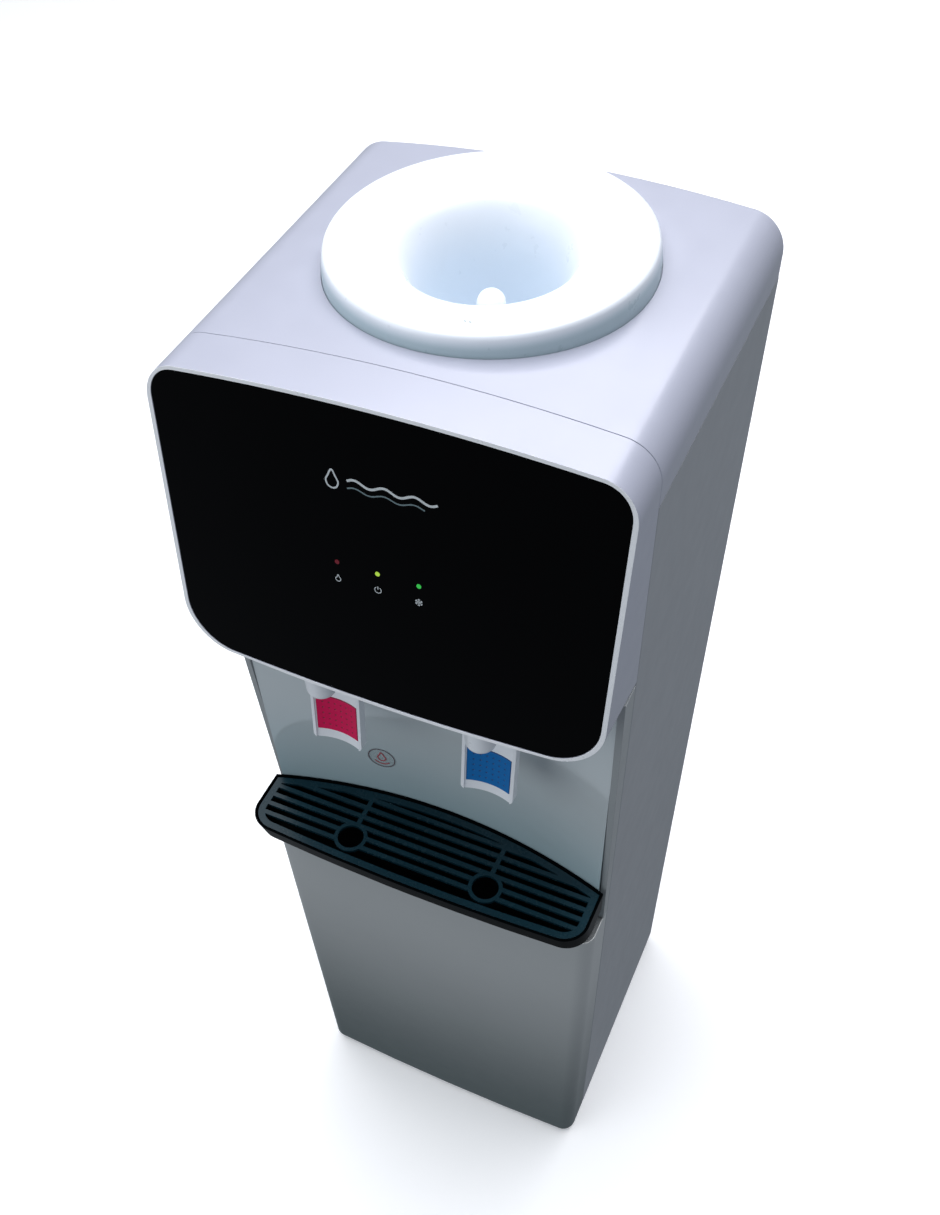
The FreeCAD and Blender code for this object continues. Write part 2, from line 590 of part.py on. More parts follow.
def make_tray():
    base_z = TRAY_TOP_Z - TRAY_HEIGHT
    grille_top = TRAY_TOP_Z - GRILLE_DROP
    grille_base = grille_top - GRILLE_THICKNESS
    tray = tray_loft(0, base_z, TRAY_TOP_Z)
    tray = tray.cut(tray_loft(TRAY_WALL + TRAY_LEDGE, base_z + TRAY_WALL, TRAY_TOP_Z + 1))
    tray = tray.cut(tray_loft(TRAY_WALL, grille_base - SEAT_GAP, TRAY_TOP_Z + 1))
    parts["drip_tray"] = tray

    grille_inset = TRAY_WALL + SLIDE_GAP
    plate = tray_loft(grille_inset, grille_base, grille_top)
    opening = tray_loft(grille_inset + GRILLE_BORDER, grille_base - 1, grille_top + 1)
    border = plate.cut(opening)
    bars = []
    y = TRAY_FRONT_Y + TRAY_BOW + GRILLE_BORDER + SLAT_PITCH / 2.0 + SLAT_WIDTH
    while y < SPLASH_CENTRE_Y - GRILLE_BORDER - SLAT_WIDTH:
        bars.append(box(-HALF, HALF, y, y + SLAT_WIDTH, grille_base, grille_top))
        y += SLAT_PITCH
    for side in (-1, 1):
        x = side * TAP_X
        spine = box(x - SLAT_WIDTH / 2, x + SLAT_WIDTH / 2, CUP_RING_Y, SPLASH_CENTRE_Y,
                    grille_base, grille_top)
        bars.append(spine)
    field = fuse_all(bars).common(opening)
    for side in (-1, 1):
        centre = (side * TAP_X, CUP_RING_Y)
        disc = rod(CUP_RING_RADIUS, (*centre, grille_base), (*centre, grille_top))
        hole = rod(CUP_RING_RADIUS - CUP_RING_WIDTH, (*centre, grille_base - 1), (*centre, grille_top + 1))
        field = field.fuse(disc).cut(hole)
    parts["drip_grille"] = border.fuse(field).removeSplitter()


def lower_plan(inset):
    """Plan face of the lower front panel: bowed front with round corners, square rear."""
    half = HALF - inset
    front = LOWER_FACE_Y + inset
    side_y = front + LOWER_FACE_BOW
    radius = LOWER_CORNER_RADIUS - inset
    reach = radius * (1 - math.sqrt(0.5))
    rear = SEAM_Y - SEAM_GAP
    z = CABINET_BASE_Z
    edges = [line((half, rear, z), (half, side_y + radius, z))]
    edges.append(arc((half, side_y + radius, z), (half - reach, side_y + reach, z),
                     (half - radius, side_y, z)))
    edges.append(arc((half - radius, side_y, z), (0, front, z), (radius - half, side_y, z)))
    edges.append(arc((radius - half, side_y, z), (reach - half, side_y + reach, z),
                     (-half, side_y + radius, z)))
    edges.append(line((-half, side_y + radius, z), (-half, rear, z)))
    edges.append(line((-half, rear, z), (half, rear, z)))
    return Part.Face(Part.Wire(edges))


def make_lower_front():
    top_z = BAY_BASE_Z - SEAM_GAP
    height = top_z - CABINET_BASE_Z
    panel = lower_plan(0).extrude(V(0, 0, height))
    panel = panel.cut(lower_plan(LOWER_WALL).extrude(V(0, 0, height - LOWER_WALL)))
    panel = panel.cut(box(LOWER_WALL - HALF, HALF - LOWER_WALL, SEAM_Y - 10, SEAM_Y + 10,
                          CABINET_BASE_Z, top_z - LOWER_WALL))
    parts["lower_front_panel"] = panel


def shelf_block(inset, base_z, height):
    """Solid under the tray: the lower panel's plan, set in, up to the splash panel."""
    block = lower_plan(TRAY_SHELF_INSET + inset).extrude(V(0, 0, height))
    block.translate(V(0, 0, base_z - CABINET_BASE_Z))
    return block.cut(behind_splash(SEAT_GAP + inset, HALF, base_z - 5, base_z + height + 5))


def make_tray_shelf():
    base_z = BAY_BASE_Z + SEAM_GAP
    height = TRAY_TOP_Z - TRAY_HEIGHT - SEAT_GAP - base_z
    parts["tray_shelf"] = shelf_block(0, base_z, height).cut(
        shelf_block(SHELL_WALL, base_z, height - SHELL_WALL))


# ================================================================ steel cabinet
def screw_drill():
    """Every hole for the rear screws, as one tool."""
    holes = []
    for _, z in screw_places():
        for side in (-1, 1):
            holes.append(rod(SCREW_RADIUS + 0.1, (side * SCREW_X, CABINET_REAR_Y - 10, z),
                             (side * SCREW_X, CABINET_REAR_Y + 5, z)))
    return Part.makeCompound(holes)


def make_side_panels():
    skin = box(HALF - PANEL_FLANGE, HALF, SEAM_Y, CABINET_REAR_Y, CABINET_BASE_Z, PANEL_TOP_Z)
    corners = [e for e in skin.Edges if e.BoundBox.XMin > HALF - 0.01 and e.BoundBox.ZLength > 100]
    skin = skin.makeFillet(PANEL_BEND, corners)
    core = box(HALF - PANEL_FLANGE - 1, HALF - SHEET, SEAM_Y + SHEET, CABINET_REAR_Y - SHEET,
               CABINET_BASE_Z - 1, PANEL_TOP_Z + 1)
    panel = skin.cut(core)
    parts["right_side_panel"] = panel.cut(screw_drill())
    parts["left_side_panel"] = mirrored(panel).cut(screw_drill())


def make_rear_panel():
    rear_y = INNER_REAR_Y
    rear_half = HALF - PANEL_FLANGE - SEAT_GAP
    rear = box(-rear_half, rear_half, CABINET_REAR_Y - SHEET, CABINET_REAR_Y, REAR_PANEL_BASE_Z, PANEL_TOP_Z)
    tabs = box(-INNER_HALF, INNER_HALF, rear_y - SHEET, rear_y, REAR_PANEL_BASE_Z, PANEL_TOP_Z - 2)
    joggle = box(-rear_half, rear_half, rear_y - SHEET, CABINET_REAR_Y, REAR_PANEL_BASE_Z, PANEL_TOP_Z - 2)
    rear = rear.fuse(tabs).fuse(joggle).removeSplitter()
    for i in range(VENT_COUNT):
        z = PANEL_TOP_Z - VENT_DROP - i * VENT_PITCH
        for x in (-VENT_X, VENT_X):
            rear = rear.cut(box(x - VENT_LENGTH / 2, x + VENT_LENGTH / 2, rear_y - 5, CABINET_REAR_Y + 5,
                                z, z + VENT_WIDTH))
    for side in (-1, 1):
        x = side * SWITCH_X
        rear = rear.cut(box(x - SWITCH_HALF_WIDTH, x + SWITCH_HALF_WIDTH, rear_y - 5, CABINET_REAR_Y + 5,
                            SWITCH_Z - SWITCH_HALF_HEIGHT, SWITCH_Z + SWITCH_HALF_HEIGHT))
    for x, radius in ((0, DRAIN_RADIUS + SLIDE_GAP), (GLAND_X, GLAND_RADIUS)):
        rear = rear.cut(rod(radius, (x, rear_y - 5, DRAIN_Z), (x, CABINET_REAR_Y + 5, DRAIN_Z)))
    parts["rear_panel"] = rear.cut(screw_drill())


def make_base():
    floor_z = CABINET_BASE_Z + BASE_SHEET
    front_y = SEAM_Y + SHEET + SEAT_GAP
    base = box(-INNER_HALF, INNER_HALF, front_y, INNER_REAR_Y, CABINET_BASE_Z, CABINET_BASE_Z + BASE_LIP)
    base = base.cut(box(BASE_SHEET - INNER_HALF, INNER_HALF - BASE_SHEET, front_y + BASE_SHEET,
                        INNER_REAR_Y - BASE_SHEET, floor_z, CABINET_BASE_Z + BASE_LIP + 1))
    apron_half = HALF - PANEL_FLANGE - 1
    apron = box(-apron_half, apron_half, LOWER_FACE_Y + LOWER_CORNER_RADIUS, front_y + 2,
                CABINET_BASE_Z, floor_z)
    base = base.fuse(apron).removeSplitter()
    feet = []
    for x in (-FOOT_X, FOOT_X):
        for y in (FOOT_FRONT_Y, FOOT_REAR_Y):
            pad = rod(14.0, (x, y, 0), (x, y, FOOT_HEIGHT - 0.2))
            pad = pad.makeChamfer(2.0, [e for e in pad.Edges if e.BoundBox.ZMax < 0.01])
            stud = rod(4.0, (x, y, FOOT_HEIGHT - 1), (x, y, FOOT_HEIGHT + 10))
            base = base.cut(rod(4.3, (x, y, 0), (x, y, FOOT_HEIGHT + 5)))
            feet.append(pad.fuse(stud).removeSplitter())
    parts["base_plate"] = base
    parts["feet"] = Part.makeCompound(feet)


def make_shelves():
    for name, z in (("upper_shelf", UPPER_SHELF_Z), ("lower_shelf", LOWER_SHELF_Z)):
        shelf = box(-INNER_HALF, INNER_HALF, SPLASH_CENTRE_Y + SHELF_FRONT_GAP,
                    INNER_REAR_Y - SHEET - SEAT_GAP, z - SHELF_LIP, z)
        shelf = shelf.cut(box(SHELF_SHEET - INNER_HALF, INNER_HALF - SHELF_SHEET, 0, PAST_REAR_Y,
                              z - SHELF_LIP - 1, z - SHELF_SHEET))
        shelf = shelf.cut(rod(20.0, (0, SEAT_Y, z - 20), (0, SEAT_Y, z + 5)))
        for x, radius in ((COIL_RADIUS, CAPILLARY_RADIUS + 3), (SUCTION_X, PIPE_RADIUS + 3)):
            shelf = shelf.cut(rod(radius, (x, SEAT_Y, z - 20), (x, SEAT_Y, z + 5)))
        if z == UPPER_SHELF_Z:
            shelf = shelf.cut(box(-HOSE_NOTCH_X, HOSE_NOTCH_X, 0, HOSE_Y + 10, z - 20, z + 5))
        parts[name] = shelf


# ================================================================ bottle seat
def polyline(points):
    """Straight edges between (radius, height) points, in the plane y = 0."""
    placed = [(radius, 0, z) for radius, z in points]
    return [line(a, b) for a, b in zip(placed, placed[1:])]


def spline(points):
    curve = Part.BSplineCurve()
    curve.interpolate([V(radius, 0, z) for radius, z in points])
    return curve.toShape()


def below_rim(profile):
    return [(radius, SEAT_RIM_Z - depth) for radius, depth in profile]


def make_seat():
    rim, base, collar, wall, lip = SEAT_RIM_RADIUS, SEAT_BASE_RADIUS, SEAT_COLLAR_RADIUS, SEAT_WALL, SEAT_LIP
    floor_z = SEAT_FLOOR_Z
    rest_z = WELL_FLOOR_Z + SEAT_GAP
    bore = collar - wall
    under_rim = (rim - wall - 1, SEAT_RIM_Z - 2 * lip)
    bowl = [(rim - lip, SEAT_RIM_Z)] + below_rim(BOWL) + [(collar + 1, floor_z + 22), (bore, floor_z + 4)]
    throat = [bowl[-1], (bore, floor_z), (0, floor_z), (0, floor_z - wall), (bore, floor_z - wall)]
    throat += [(bore, SEAT_COLLAR_BASE_Z), (collar, SEAT_COLLAR_BASE_Z), (collar, floor_z + 6)]
    under = [throat[-1], (collar + 4, floor_z + 24)] + below_rim(BOWL_UNDERSIDE) + [under_rim]
    skirt = [under_rim, (base - wall - 1, rest_z), (base, rest_z), (base, CROWN_Z - 8)]
    skirt.append((rim, SEAT_RIM_Z - lip))
    reach = lip * (1 - math.sqrt(0.5))
    edges = [spline(bowl)] + polyline(throat) + [spline(under)] + polyline(skirt)
    edges.append(arc((rim, 0, SEAT_RIM_Z - lip), (rim - reach, 0, SEAT_RIM_Z - reach),
                     (rim - lip, 0, SEAT_RIM_Z)))
    seat = face_of(edges).revolve(V(0, 0, 0), V(0, 0, 1), 360)
    seat = seat.cut(rod(PROBE_PLUG_RADIUS, (0, 0, floor_z - 10), (0, 0, floor_z + 10)))
    for i in range(SEAT_SLOT_COUNT):
        angle = 2 * math.pi * (i + 0.5) / SEAT_SLOT_COUNT
        x, y = SEAT_SLOT_RING * math.cos(angle), SEAT_SLOT_RING * math.sin(angle)
        seat = seat.cut(rod(SEAT_SLOT_RADIUS, (x, y, floor_z - 10), (x, y, floor_z + 10)))
    seat.translate(V(0, SEAT_Y, 0))
    parts["bottle_seat"] = seat


def make_probe():
    floor_z = SEAT_FLOOR_Z
    dome_z = PROBE_TIP_Z - PROBE_RADIUS
    plug, bore = PROBE_PLUG_RADIUS - 0.1, PROBE_PLUG_RADIUS - PROBE_WALL
    plug_base_z = floor_z - SEAT_WALL - 6.0
    shoulder_z = floor_z + 0.05
    edges = polyline([(0, dome_z - 4), (bore, dome_z - 4), (bore, plug_base_z), (plug, plug_base_z)])
    edges += polyline([(plug, plug_base_z), (plug, shoulder_z), (PROBE_RADIUS, shoulder_z)])
    edges += polyline([(PROBE_RADIUS, shoulder_z), (PROBE_RADIUS, dome_z)])
    slope = PROBE_RADIUS * math.sqrt(0.5)
    edges.append(arc((PROBE_RADIUS, 0, dome_z), (slope, 0, dome_z + slope), (0, 0, PROBE_TIP_Z)))
    edges += polyline([(0, PROBE_TIP_Z), (0, dome_z - 4)])
    probe = face_of(edges).revolve(V(0, 0, 0), V(0, 0, 1), 360)
    port_z = PROBE_TIP_Z - PROBE_PORT_DROP
    for i in range(3):
        angle = math.pi * i / 3.0
        x, y = 2 * PROBE_RADIUS * math.cos(angle), 2 * PROBE_RADIUS * math.sin(angle)
        probe = probe.cut(rod(PROBE_PORT_RADIUS, (-x, -y, port_z), (x, y, port_z)))
    probe.translate(V(0, SEAT_Y, 0))
    parts["feed_probe"] = probe


# ================================================================ taps
def make_tap_body(x, name):
    y = SPOUT_Y
    spout = rod(SPOUT_RADIUS, (x, y, SPOUT_BASE_Z), (x, y, CHAMBER_BASE_Z))
    spout = spout.makeFillet(7.0, [e for e in spout.Edges if e.BoundBox.ZMax < SPOUT_BASE_Z + 0.01])
    chamber = rod(CHAMBER_RADIUS, (x, y, CHAMBER_BASE_Z), (x, y, CHAMBER_TOP_Z))
    inlet = rod(INLET_RADIUS, (x, y, INLET_Z), (x, INLET_END_Y - 10, INLET_Z))
    barb = rod(PORT_RADIUS, (x, y, INLET_Z), (x, INLET_END_Y, INLET_Z))
    boss = box(x - TAP_BOSS_HALF, x + TAP_BOSS_HALF, PIVOT_Y - 6, PIVOT_Y + 6, PIVOT_Z - 6, PIVOT_Z + 10)
    flange_y = splash_y(TAP_X + TAP_FLANGE_RADIUS) - SEAT_GAP
    flange = rod(TAP_FLANGE_RADIUS, (x, flange_y - TAP_FLANGE_THICKNESS, INLET_Z), (x, flange_y, INLET_Z))
    pins = rod(PIVOT_RADIUS, (x - PIVOT_HALF, PIVOT_Y, PIVOT_Z), (x + PIVOT_HALF, PIVOT_Y, PIVOT_Z))
    body = fuse_all([spout, chamber, inlet, barb, boss, flange, pins])
    seat_top = VALVE_SEAT_Z + VALVE_SEAT_THICKNESS
    body = body.cut(rod(SPOUT_BORE, (x, y, SPOUT_BASE_Z - 1), (x, y, CHAMBER_BASE_Z + 1)))
    body = body.cut(rod(CHAMBER_BORE, (x, y, CHAMBER_BASE_Z), (x, y, VALVE_SEAT_Z)))
    body = body.cut(rod(VALVE_BORE, (x, y, VALVE_SEAT_Z - 1), (x, y, seat_top + 1)))
    body = body.cut(rod(CHAMBER_BORE, (x, y, seat_top), (x, y, CHAMBER_TOP_Z + 1)))
    body = body.cut(rod(INLET_BORE, (x, y + 2, INLET_Z), (x, INLET_END_Y + 1, INLET_Z)))
    parts[name + "_tap_body"] = body


def make_tap(side, name):
    """Body, cap, valve stem, spring and nut of one tap, and the paddle that works it."""
    x, y = side * TAP_X, SPOUT_Y
    make_tap_body(x, name)
    cap_z = CHAMBER_TOP_Z + 0.05
    cap_top = cap_z + TAP_CAP_THICKNESS
    cap = rod(CHAMBER_RADIUS, (x, y, cap_z), (x, y, cap_top))
    cap = cap.fuse(rod(CHAMBER_BORE - 0.05, (x, y, cap_z - TAP_CAP_THICKNESS), (x, y, cap_z)))
    cap = cap.cut(rod(STEM_RADIUS + PIN_CLEARANCE, (x, y, cap_z - 10), (x, y, cap_z + 10)))
    parts[name + "_tap_cap"] = cap.removeSplitter()

    head_z = cap_top + SPRING_SPACE
    head_top = head_z + STEM_HEAD_THICKNESS
    poppet_top = VALVE_SEAT_Z - SEAT_GAP
    poppet_base = poppet_top - POPPET_THICKNESS
    stem = rod(STEM_RADIUS, (x, y, poppet_base - 0.8), (x, y, head_top))
    stem = stem.fuse(rod(STEM_HEAD_RADIUS, (x, y, head_z), (x, y, head_top)))
    stem = stem.fuse(rod(POPPET_RADIUS, (x, y, poppet_base), (x, y, poppet_top)))
    parts[name + "_valve_stem"] = stem.removeSplitter()

    spring_base = cap_top + SPRING_WIRE + 0.1
    length = head_z - SPRING_WIRE - 0.1 - spring_base
    helix = Part.makeHelix(length / SPRING_TURNS, length, SPRING_RADIUS)
    ring = Part.Wire([Part.makeCircle(SPRING_WIRE, V(SPRING_RADIUS, 0, 0), V(0, 1, 0))])
    spring = Part.Wire(helix).makePipeShell([ring], True, True)
    spring.translate(V(x, y, spring_base))
    parts[name + "_valve_spring"] = spring

    nut_y = splash_y(TAP_X - TAP_FLANGE_RADIUS) + SPLASH_WALL + SEAT_GAP
    corners = []
    for i in range(6):
        angle = math.radians(60 * i)
        dx, dz = TAP_NUT_RADIUS * math.cos(angle), TAP_NUT_RADIUS * math.sin(angle)
        corners.append((x + dx, nut_y, INLET_Z + dz))
    nut = polygon_face(corners).extrude(V(0, TAP_NUT_THICKNESS, 0))
    nut = nut.cut(rod(INLET_RADIUS + PIN_CLEARANCE, (x, nut_y - 5, INLET_Z), (x, nut_y + 20, INLET_Z)))
    parts[name + "_tap_nut"] = nut
    make_paddle(x, name, head_top)


def splash_y(x):
    """Front surface of the splash panel at a distance from the centre line."""
    return SPLASH_CENTRE_Y - SPLASH_RADIUS + math.sqrt(SPLASH_RADIUS ** 2 - x ** 2)


def upright_slab(x0, x1, z0, z1, radius, y0, y1):
    """Slab between two depths, with its two lower corners rounded."""
    reach = radius * (1 - math.sqrt(0.5))
    edges = [line((x0, y0, z1), (x0, y0, z0 + radius))]
    edges.append(arc((x0, y0, z0 + radius), (x0 + reach, y0, z0 + reach), (x0 + radius, y0, z0)))
    edges.append(line((x0 + radius, y0, z0), (x1 - radius, y0, z0)))
    edges.append(arc((x1 - radius, y0, z0), (x1 - reach, y0, z0 + reach), (x1, y0, z0 + radius)))
    edges.append(line((x1, y0, z0 + radius), (x1, y0, z1)))
    edges.append(line((x1, y0, z1), (x0, y0, z1)))
    return Part.Face(Part.Wire(edges)).extrude(V(0, y1 - y0, 0))


def dished_slab(front, rear, half_width, z0, z1):
    """Upright slab between two concentric arcs of the paddle's dish, front and rear off its face."""
    centre = V(0, PADDLE_DISH - PADDLE_DISH_RADIUS, z0)
    outer = Part.makeCylinder(PADDLE_DISH_RADIUS + rear, z1 - z0, centre)
    inner = Part.makeCylinder(PADDLE_DISH_RADIUS + front, z1 - z0, centre)
    return outer.cut(inner).common(box(-half_width, half_width, -5, 30, z0, z1))


def leaned(shape):
    return shape.rotate(V(0, 0, 0), V(1, 0, 0), -PADDLE_TILT)


def make_paddle(x, name, stem_top):
    """The paddle is drawn upright about its pivot at the origin, then leaned and set in place."""
    half, top, wall = PADDLE_HALF_WIDTH, PADDLE_TOP, PADDLE_WALL
    foot = (PADDLE_FOOT_Z - PIVOT_Z) / math.cos(math.radians(PADDLE_TILT))
    body = dished_slab(0, wall, half, foot, top)
    body = body.fuse(box(-half, wall - half, 0, PADDLE_RIM, foot, top))
    body = body.fuse(box(half - wall, half, 0, PADDLE_RIM, foot, top))
    body = body.common(upright_slab(-half, half, foot, top + 10, PADDLE_CORNER_RADIUS, -10, 30))
    pad_half = PAD_SIZE / 2.0
    pad_base = foot + PAD_RISE
    pad_top = pad_base + PAD_SIZE
    body = body.cut(dished_slab(-1, PAD_RECESS, pad_half + PAD_FIT, pad_base - PAD_FIT, pad_top + PAD_FIT))
    web_half = PADDLE_ARM_X + PADDLE_ARM_HALF
    web = box(-web_half, web_half, 2.0, 4.5, top - 1, top + 14)
    tongue_z = stem_top - PIVOT_Z + SEAT_GAP
    tongue_top = tongue_z + PADDLE_TONGUE_THICKNESS
    arms = []
    for arm_x in (-PADDLE_ARM_X, PADDLE_ARM_X):
        arms.append(box(arm_x - PADDLE_ARM_HALF, arm_x + PADDLE_ARM_HALF, -7, 9, top - 1, tongue_top))
    bridge = box(-web_half, web_half, SPOUT_Y - PIVOT_Y - TONGUE_REACH, 9, tongue_z, tongue_top)
    paddle = fuse_all([leaned(body), leaned(web), bridge] + arms)
    paddle = paddle.cut(rod(PIVOT_RADIUS + PIN_CLEARANCE, (-30, 0, 0), (30, 0, 0)))
    place = V(x, PIVOT_Y, PIVOT_Z)
    paddle.translate(place)
    parts[name + "_paddle"] = paddle

    pad = leaned(dished_slab(PAD_RECESS - PAD_THICKNESS, PAD_RECESS - 0.05, pad_half, pad_base, pad_top))
    pad.translate(place)
    parts[name + "_paddle_pad"] = pad


# ================================================================ tanks and hoses
def toward_tap(side, radius, z):
    """Point at a radius from the tank axis, on the line to where a tap's hose runs."""
    dx, dy = side * TAP_X, HOSE_Y - SEAT_Y
    length = math.hypot(dx, dy)
    return (radius * dx / length, SEAT_Y + radius * dy / length, z)


def make_cold_tank():
    y = SEAT_Y
    inner = TANK_RADIUS - TANK_WALL
    tank = rod(TANK_RADIUS, (0, y, TANK_BASE_Z), (0, y, TANK_TOP_Z))
    tank = tank.cut(rod(inner, (0, y, TANK_BASE_Z + TANK_WALL), (0, y, TANK_TOP_Z + 1)))
    rim = tube(TANK_RADIUS + 5, inner, (0, y, TANK_TOP_Z - 1.2), (0, y, TANK_TOP_Z))
    side_port = rod(PORT_RADIUS, toward_tap(1, inner + 0.2, COLD_PORT_Z),
                    toward_tap(1, TANK_RADIUS + PORT_LENGTH, COLD_PORT_Z))
    neck = rod(NECK_RADIUS, (0, y, TANK_BASE_Z - 14), (0, y, TANK_BASE_Z + 0.5))
    tank = tank.fuse(rim).fuse(side_port).fuse(neck)
    tank = tank.cut(rod(PORT_BORE, toward_tap(1, inner - 5, COLD_PORT_Z),
                        toward_tap(1, TANK_RADIUS + PORT_LENGTH + 5, COLD_PORT_Z)))
    tank = tank.cut(rod(NECK_RADIUS - 1, (0, y, TANK_BASE_Z - 20), (0, y, TANK_BASE_Z + 5)))
    parts["cold_tank"] = tank.removeSplitter()

    lid_z = TANK_TOP_Z + SEAT_GAP
    bore = SEAT_COLLAR_RADIUS + SLIDE_GAP
    lid = tube(TANK_RADIUS + 8, bore, (0, y, lid_z), (0, y, lid_z + 3))
    lid = lid.fuse(tube(bore + 2.5, bore, (0, y, lid_z), (0, y, lid_z + 10)))
    parts["tank_lid"] = lid.removeSplitter()

    baffle_z = TANK_BASE_Z + 60
    baffle = rod(inner - 0.4, (0, y, baffle_z), (0, y, baffle_z + 2))
    baffle = baffle.fuse(rod(NECK_RADIUS - 1 - SEAT_GAP, (0, y, TANK_BASE_Z - 8), (0, y, baffle_z + 1)))
    baffle = baffle.cut(rod(4.5, (0, y, TANK_BASE_Z - 10), (0, y, baffle_z + 5)))
    for i in range(6):
        angle = math.radians(60 * i)
        px, py = 50 * math.cos(angle), y + 50 * math.sin(angle)
        baffle = baffle.cut(rod(5.0, (px, py, baffle_z - 5), (px, py, baffle_z + 5)))
    parts["tank_baffle"] = baffle.removeSplitter()

    helix = Part.makeHelix(COIL_PITCH, COIL_PITCH * COIL_TURNS, COIL_RADIUS)
    ring = Part.Wire([Part.makeCircle(COIL_TUBE, V(COIL_RADIUS, 0, 0), V(0, 1, 0))])
    coil = Part.Wire(helix).makePipeShell([ring], True, True)
    coil.translate(V(0, y, COIL_BASE_Z))
    parts["evaporator_coil"] = coil

    foam_base = UPPER_SHELF_Z + SEAT_GAP
    foam_top = TANK_TOP_Z - 1.2 - SEAT_GAP
    foam = rod(FOAM_RADIUS, (0, y, foam_base), (0, y, foam_top))
    foam = foam.cut(rod(FOAM_BORE, (0, y, TANK_BASE_Z - SEAT_GAP), (0, y, foam_top + 1)))
    foam = foam.cut(rod(NECK_RADIUS + 4, (0, y, foam_base - 1), (0, y, TANK_BASE_Z + 1)))
    foam = foam.cut(rod(PORT_RADIUS + 1, toward_tap(1, TANK_RADIUS - 2, COLD_PORT_Z),
                        toward_tap(1, FOAM_RADIUS + 5, COLD_PORT_Z)))
    foam = foam.cut(rod(CAPILLARY_RADIUS + 1, (COIL_RADIUS, y, foam_base - 1),
                        (COIL_RADIUS, y, TANK_BASE_Z + 1)))
    foam = foam.cut(rod(PIPE_RADIUS + 1, (COIL_RADIUS, y, COIL_TOP_Z), (FOAM_RADIUS + 5, y, COIL_TOP_Z)))
    around = FOAM_RADIUS + 1
    parts["insulation_front"] = foam.common(box(-around, around, y - around, y - 0.1, foam_base, foam_top))
    parts["insulation_rear"] = foam.common(box(-around, around, y + 0.1, y + around, foam_base, foam_top))


def make_hot_tank():
    y = SEAT_Y
    base, top = HOT_TANK_BASE_Z, HOT_TANK_TOP_Z
    shell = rod(HOT_TANK_RADIUS, (0, y, base), (0, y, top))
    shell = shell.makeFillet(10.0, [e for e in shell.Edges if e.BoundBox.ZLength < 0.01])
    core = rod(HOT_TANK_RADIUS - TANK_WALL, (0, y, base + TANK_WALL), (0, y, top - TANK_WALL))
    core = core.makeFillet(9.0, [e for e in core.Edges if e.BoundBox.ZLength < 0.01])
    port_end = HOT_TANK_RADIUS + PORT_LENGTH
    outside = [rod(NECK_RADIUS, (0, y, top - 2), (0, y, top + 14))]
    outside.append(rod(PORT_RADIUS, toward_tap(-1, HOT_TANK_RADIUS - 2, HOT_PORT_Z),
                       toward_tap(-1, port_end, HOT_PORT_Z)))
    outside.append(rod(PORT_RADIUS, (0, y, base + 2), (0, y, base - 12)))
    for i in range(3):
        angle = math.radians(120 * i - 90)
        px = (HOT_TANK_RADIUS - 16) * math.cos(angle)
        py = y + (HOT_TANK_RADIUS - 16) * math.sin(angle)
        outside.append(rod(5.0, (px, py, LOWER_SHELF_Z + 0.1), (px, py, base + 2)))
    hot = fuse_all([shell] + outside).cut(core)
    hot = hot.cut(rod(NECK_RADIUS - 1, (0, y, top - 5), (0, y, top + 20)))
    hot = hot.cut(rod(PORT_BORE, toward_tap(-1, HOT_TANK_RADIUS - 5, HOT_PORT_Z),
                      toward_tap(-1, port_end + 5, HOT_PORT_Z)))
    hot = hot.cut(rod(PORT_BORE, (0, y, base - 20), (0, y, base + 5)))
    parts["hot_tank"] = hot.removeSplitter()

    band = tube(JACKET_BORE - 0.3, HOT_TANK_RADIUS + 0.1, (0, y, base + 30), (0, y, base + 80))
    parts["band_heater"] = band.cut(box(-4, 4, y, y + 90, base, top))

    jacket = tube(JACKET_BORE + JACKET_WALL, JACKET_BORE, (0, y, base + 12), (0, y, top - 12))
    jacket = jacket.cut(rod(PORT_RADIUS + 1, toward_tap(-1, HOT_TANK_RADIUS, HOT_PORT_Z),
                            toward_tap(-1, port_end, HOT_PORT_Z)))
    parts["hot_tank_jacket"] = jacket

    can_x = 24.0
    can = rod(9.0, (can_x, y, top + 0.1), (can_x, y, top + 6))
    blades = [box(can_x + dx - 0.8, can_x + dx + 0.8, y - 3, y + 3, top + 5, top + 13) for dx in (-3, 3)]
    parts["hot_thermostat"] = fuse_all([can] + blades)


def make_hoses():
    bore = PORT_RADIUS + HOSE_FIT
    start_y = INLET_END_Y - 9.0
    cold = [(TAP_X, start_y, INLET_Z), (TAP_X, HOSE_Y, INLET_Z), (TAP_X, HOSE_Y, COLD_PORT_Z)]
    cold.append(toward_tap(1, FOAM_RADIUS + 1.5, COLD_PORT_Z))
    parts["cold_hose"] = hose(cold, HOSE_RADIUS, bore, HOSE_BEND)
    hot = [(-TAP_X, start_y, INLET_Z), (-TAP_X, HOSE_Y, INLET_Z), (-TAP_X, HOSE_Y, HOT_PORT_Z)]
    hot.append(toward_tap(-1, JACKET_BORE + JACKET_WALL + 1.5, HOT_PORT_Z))
    parts["hot_hose"] = hose(hot, HOSE_RADIUS, bore, HOSE_BEND)
    parts["transfer_hose"] = tube(NECK_RADIUS + 2.5, NECK_RADIUS + HOSE_FIT,
                                  (0, SEAT_Y, HOT_TANK_TOP_Z + 3), (0, SEAT_Y, TANK_BASE_Z - 3))
    rear_y = CABINET_REAR_Y - SHEET
    drain = [(0, SEAT_Y, HOT_TANK_BASE_Z - 3), (0, SEAT_Y, DRAIN_Z), (0, rear_y - 12, DRAIN_Z)]
    parts["drain_hose"] = hose(drain, HOSE_RADIUS, bore, HOSE_BEND)


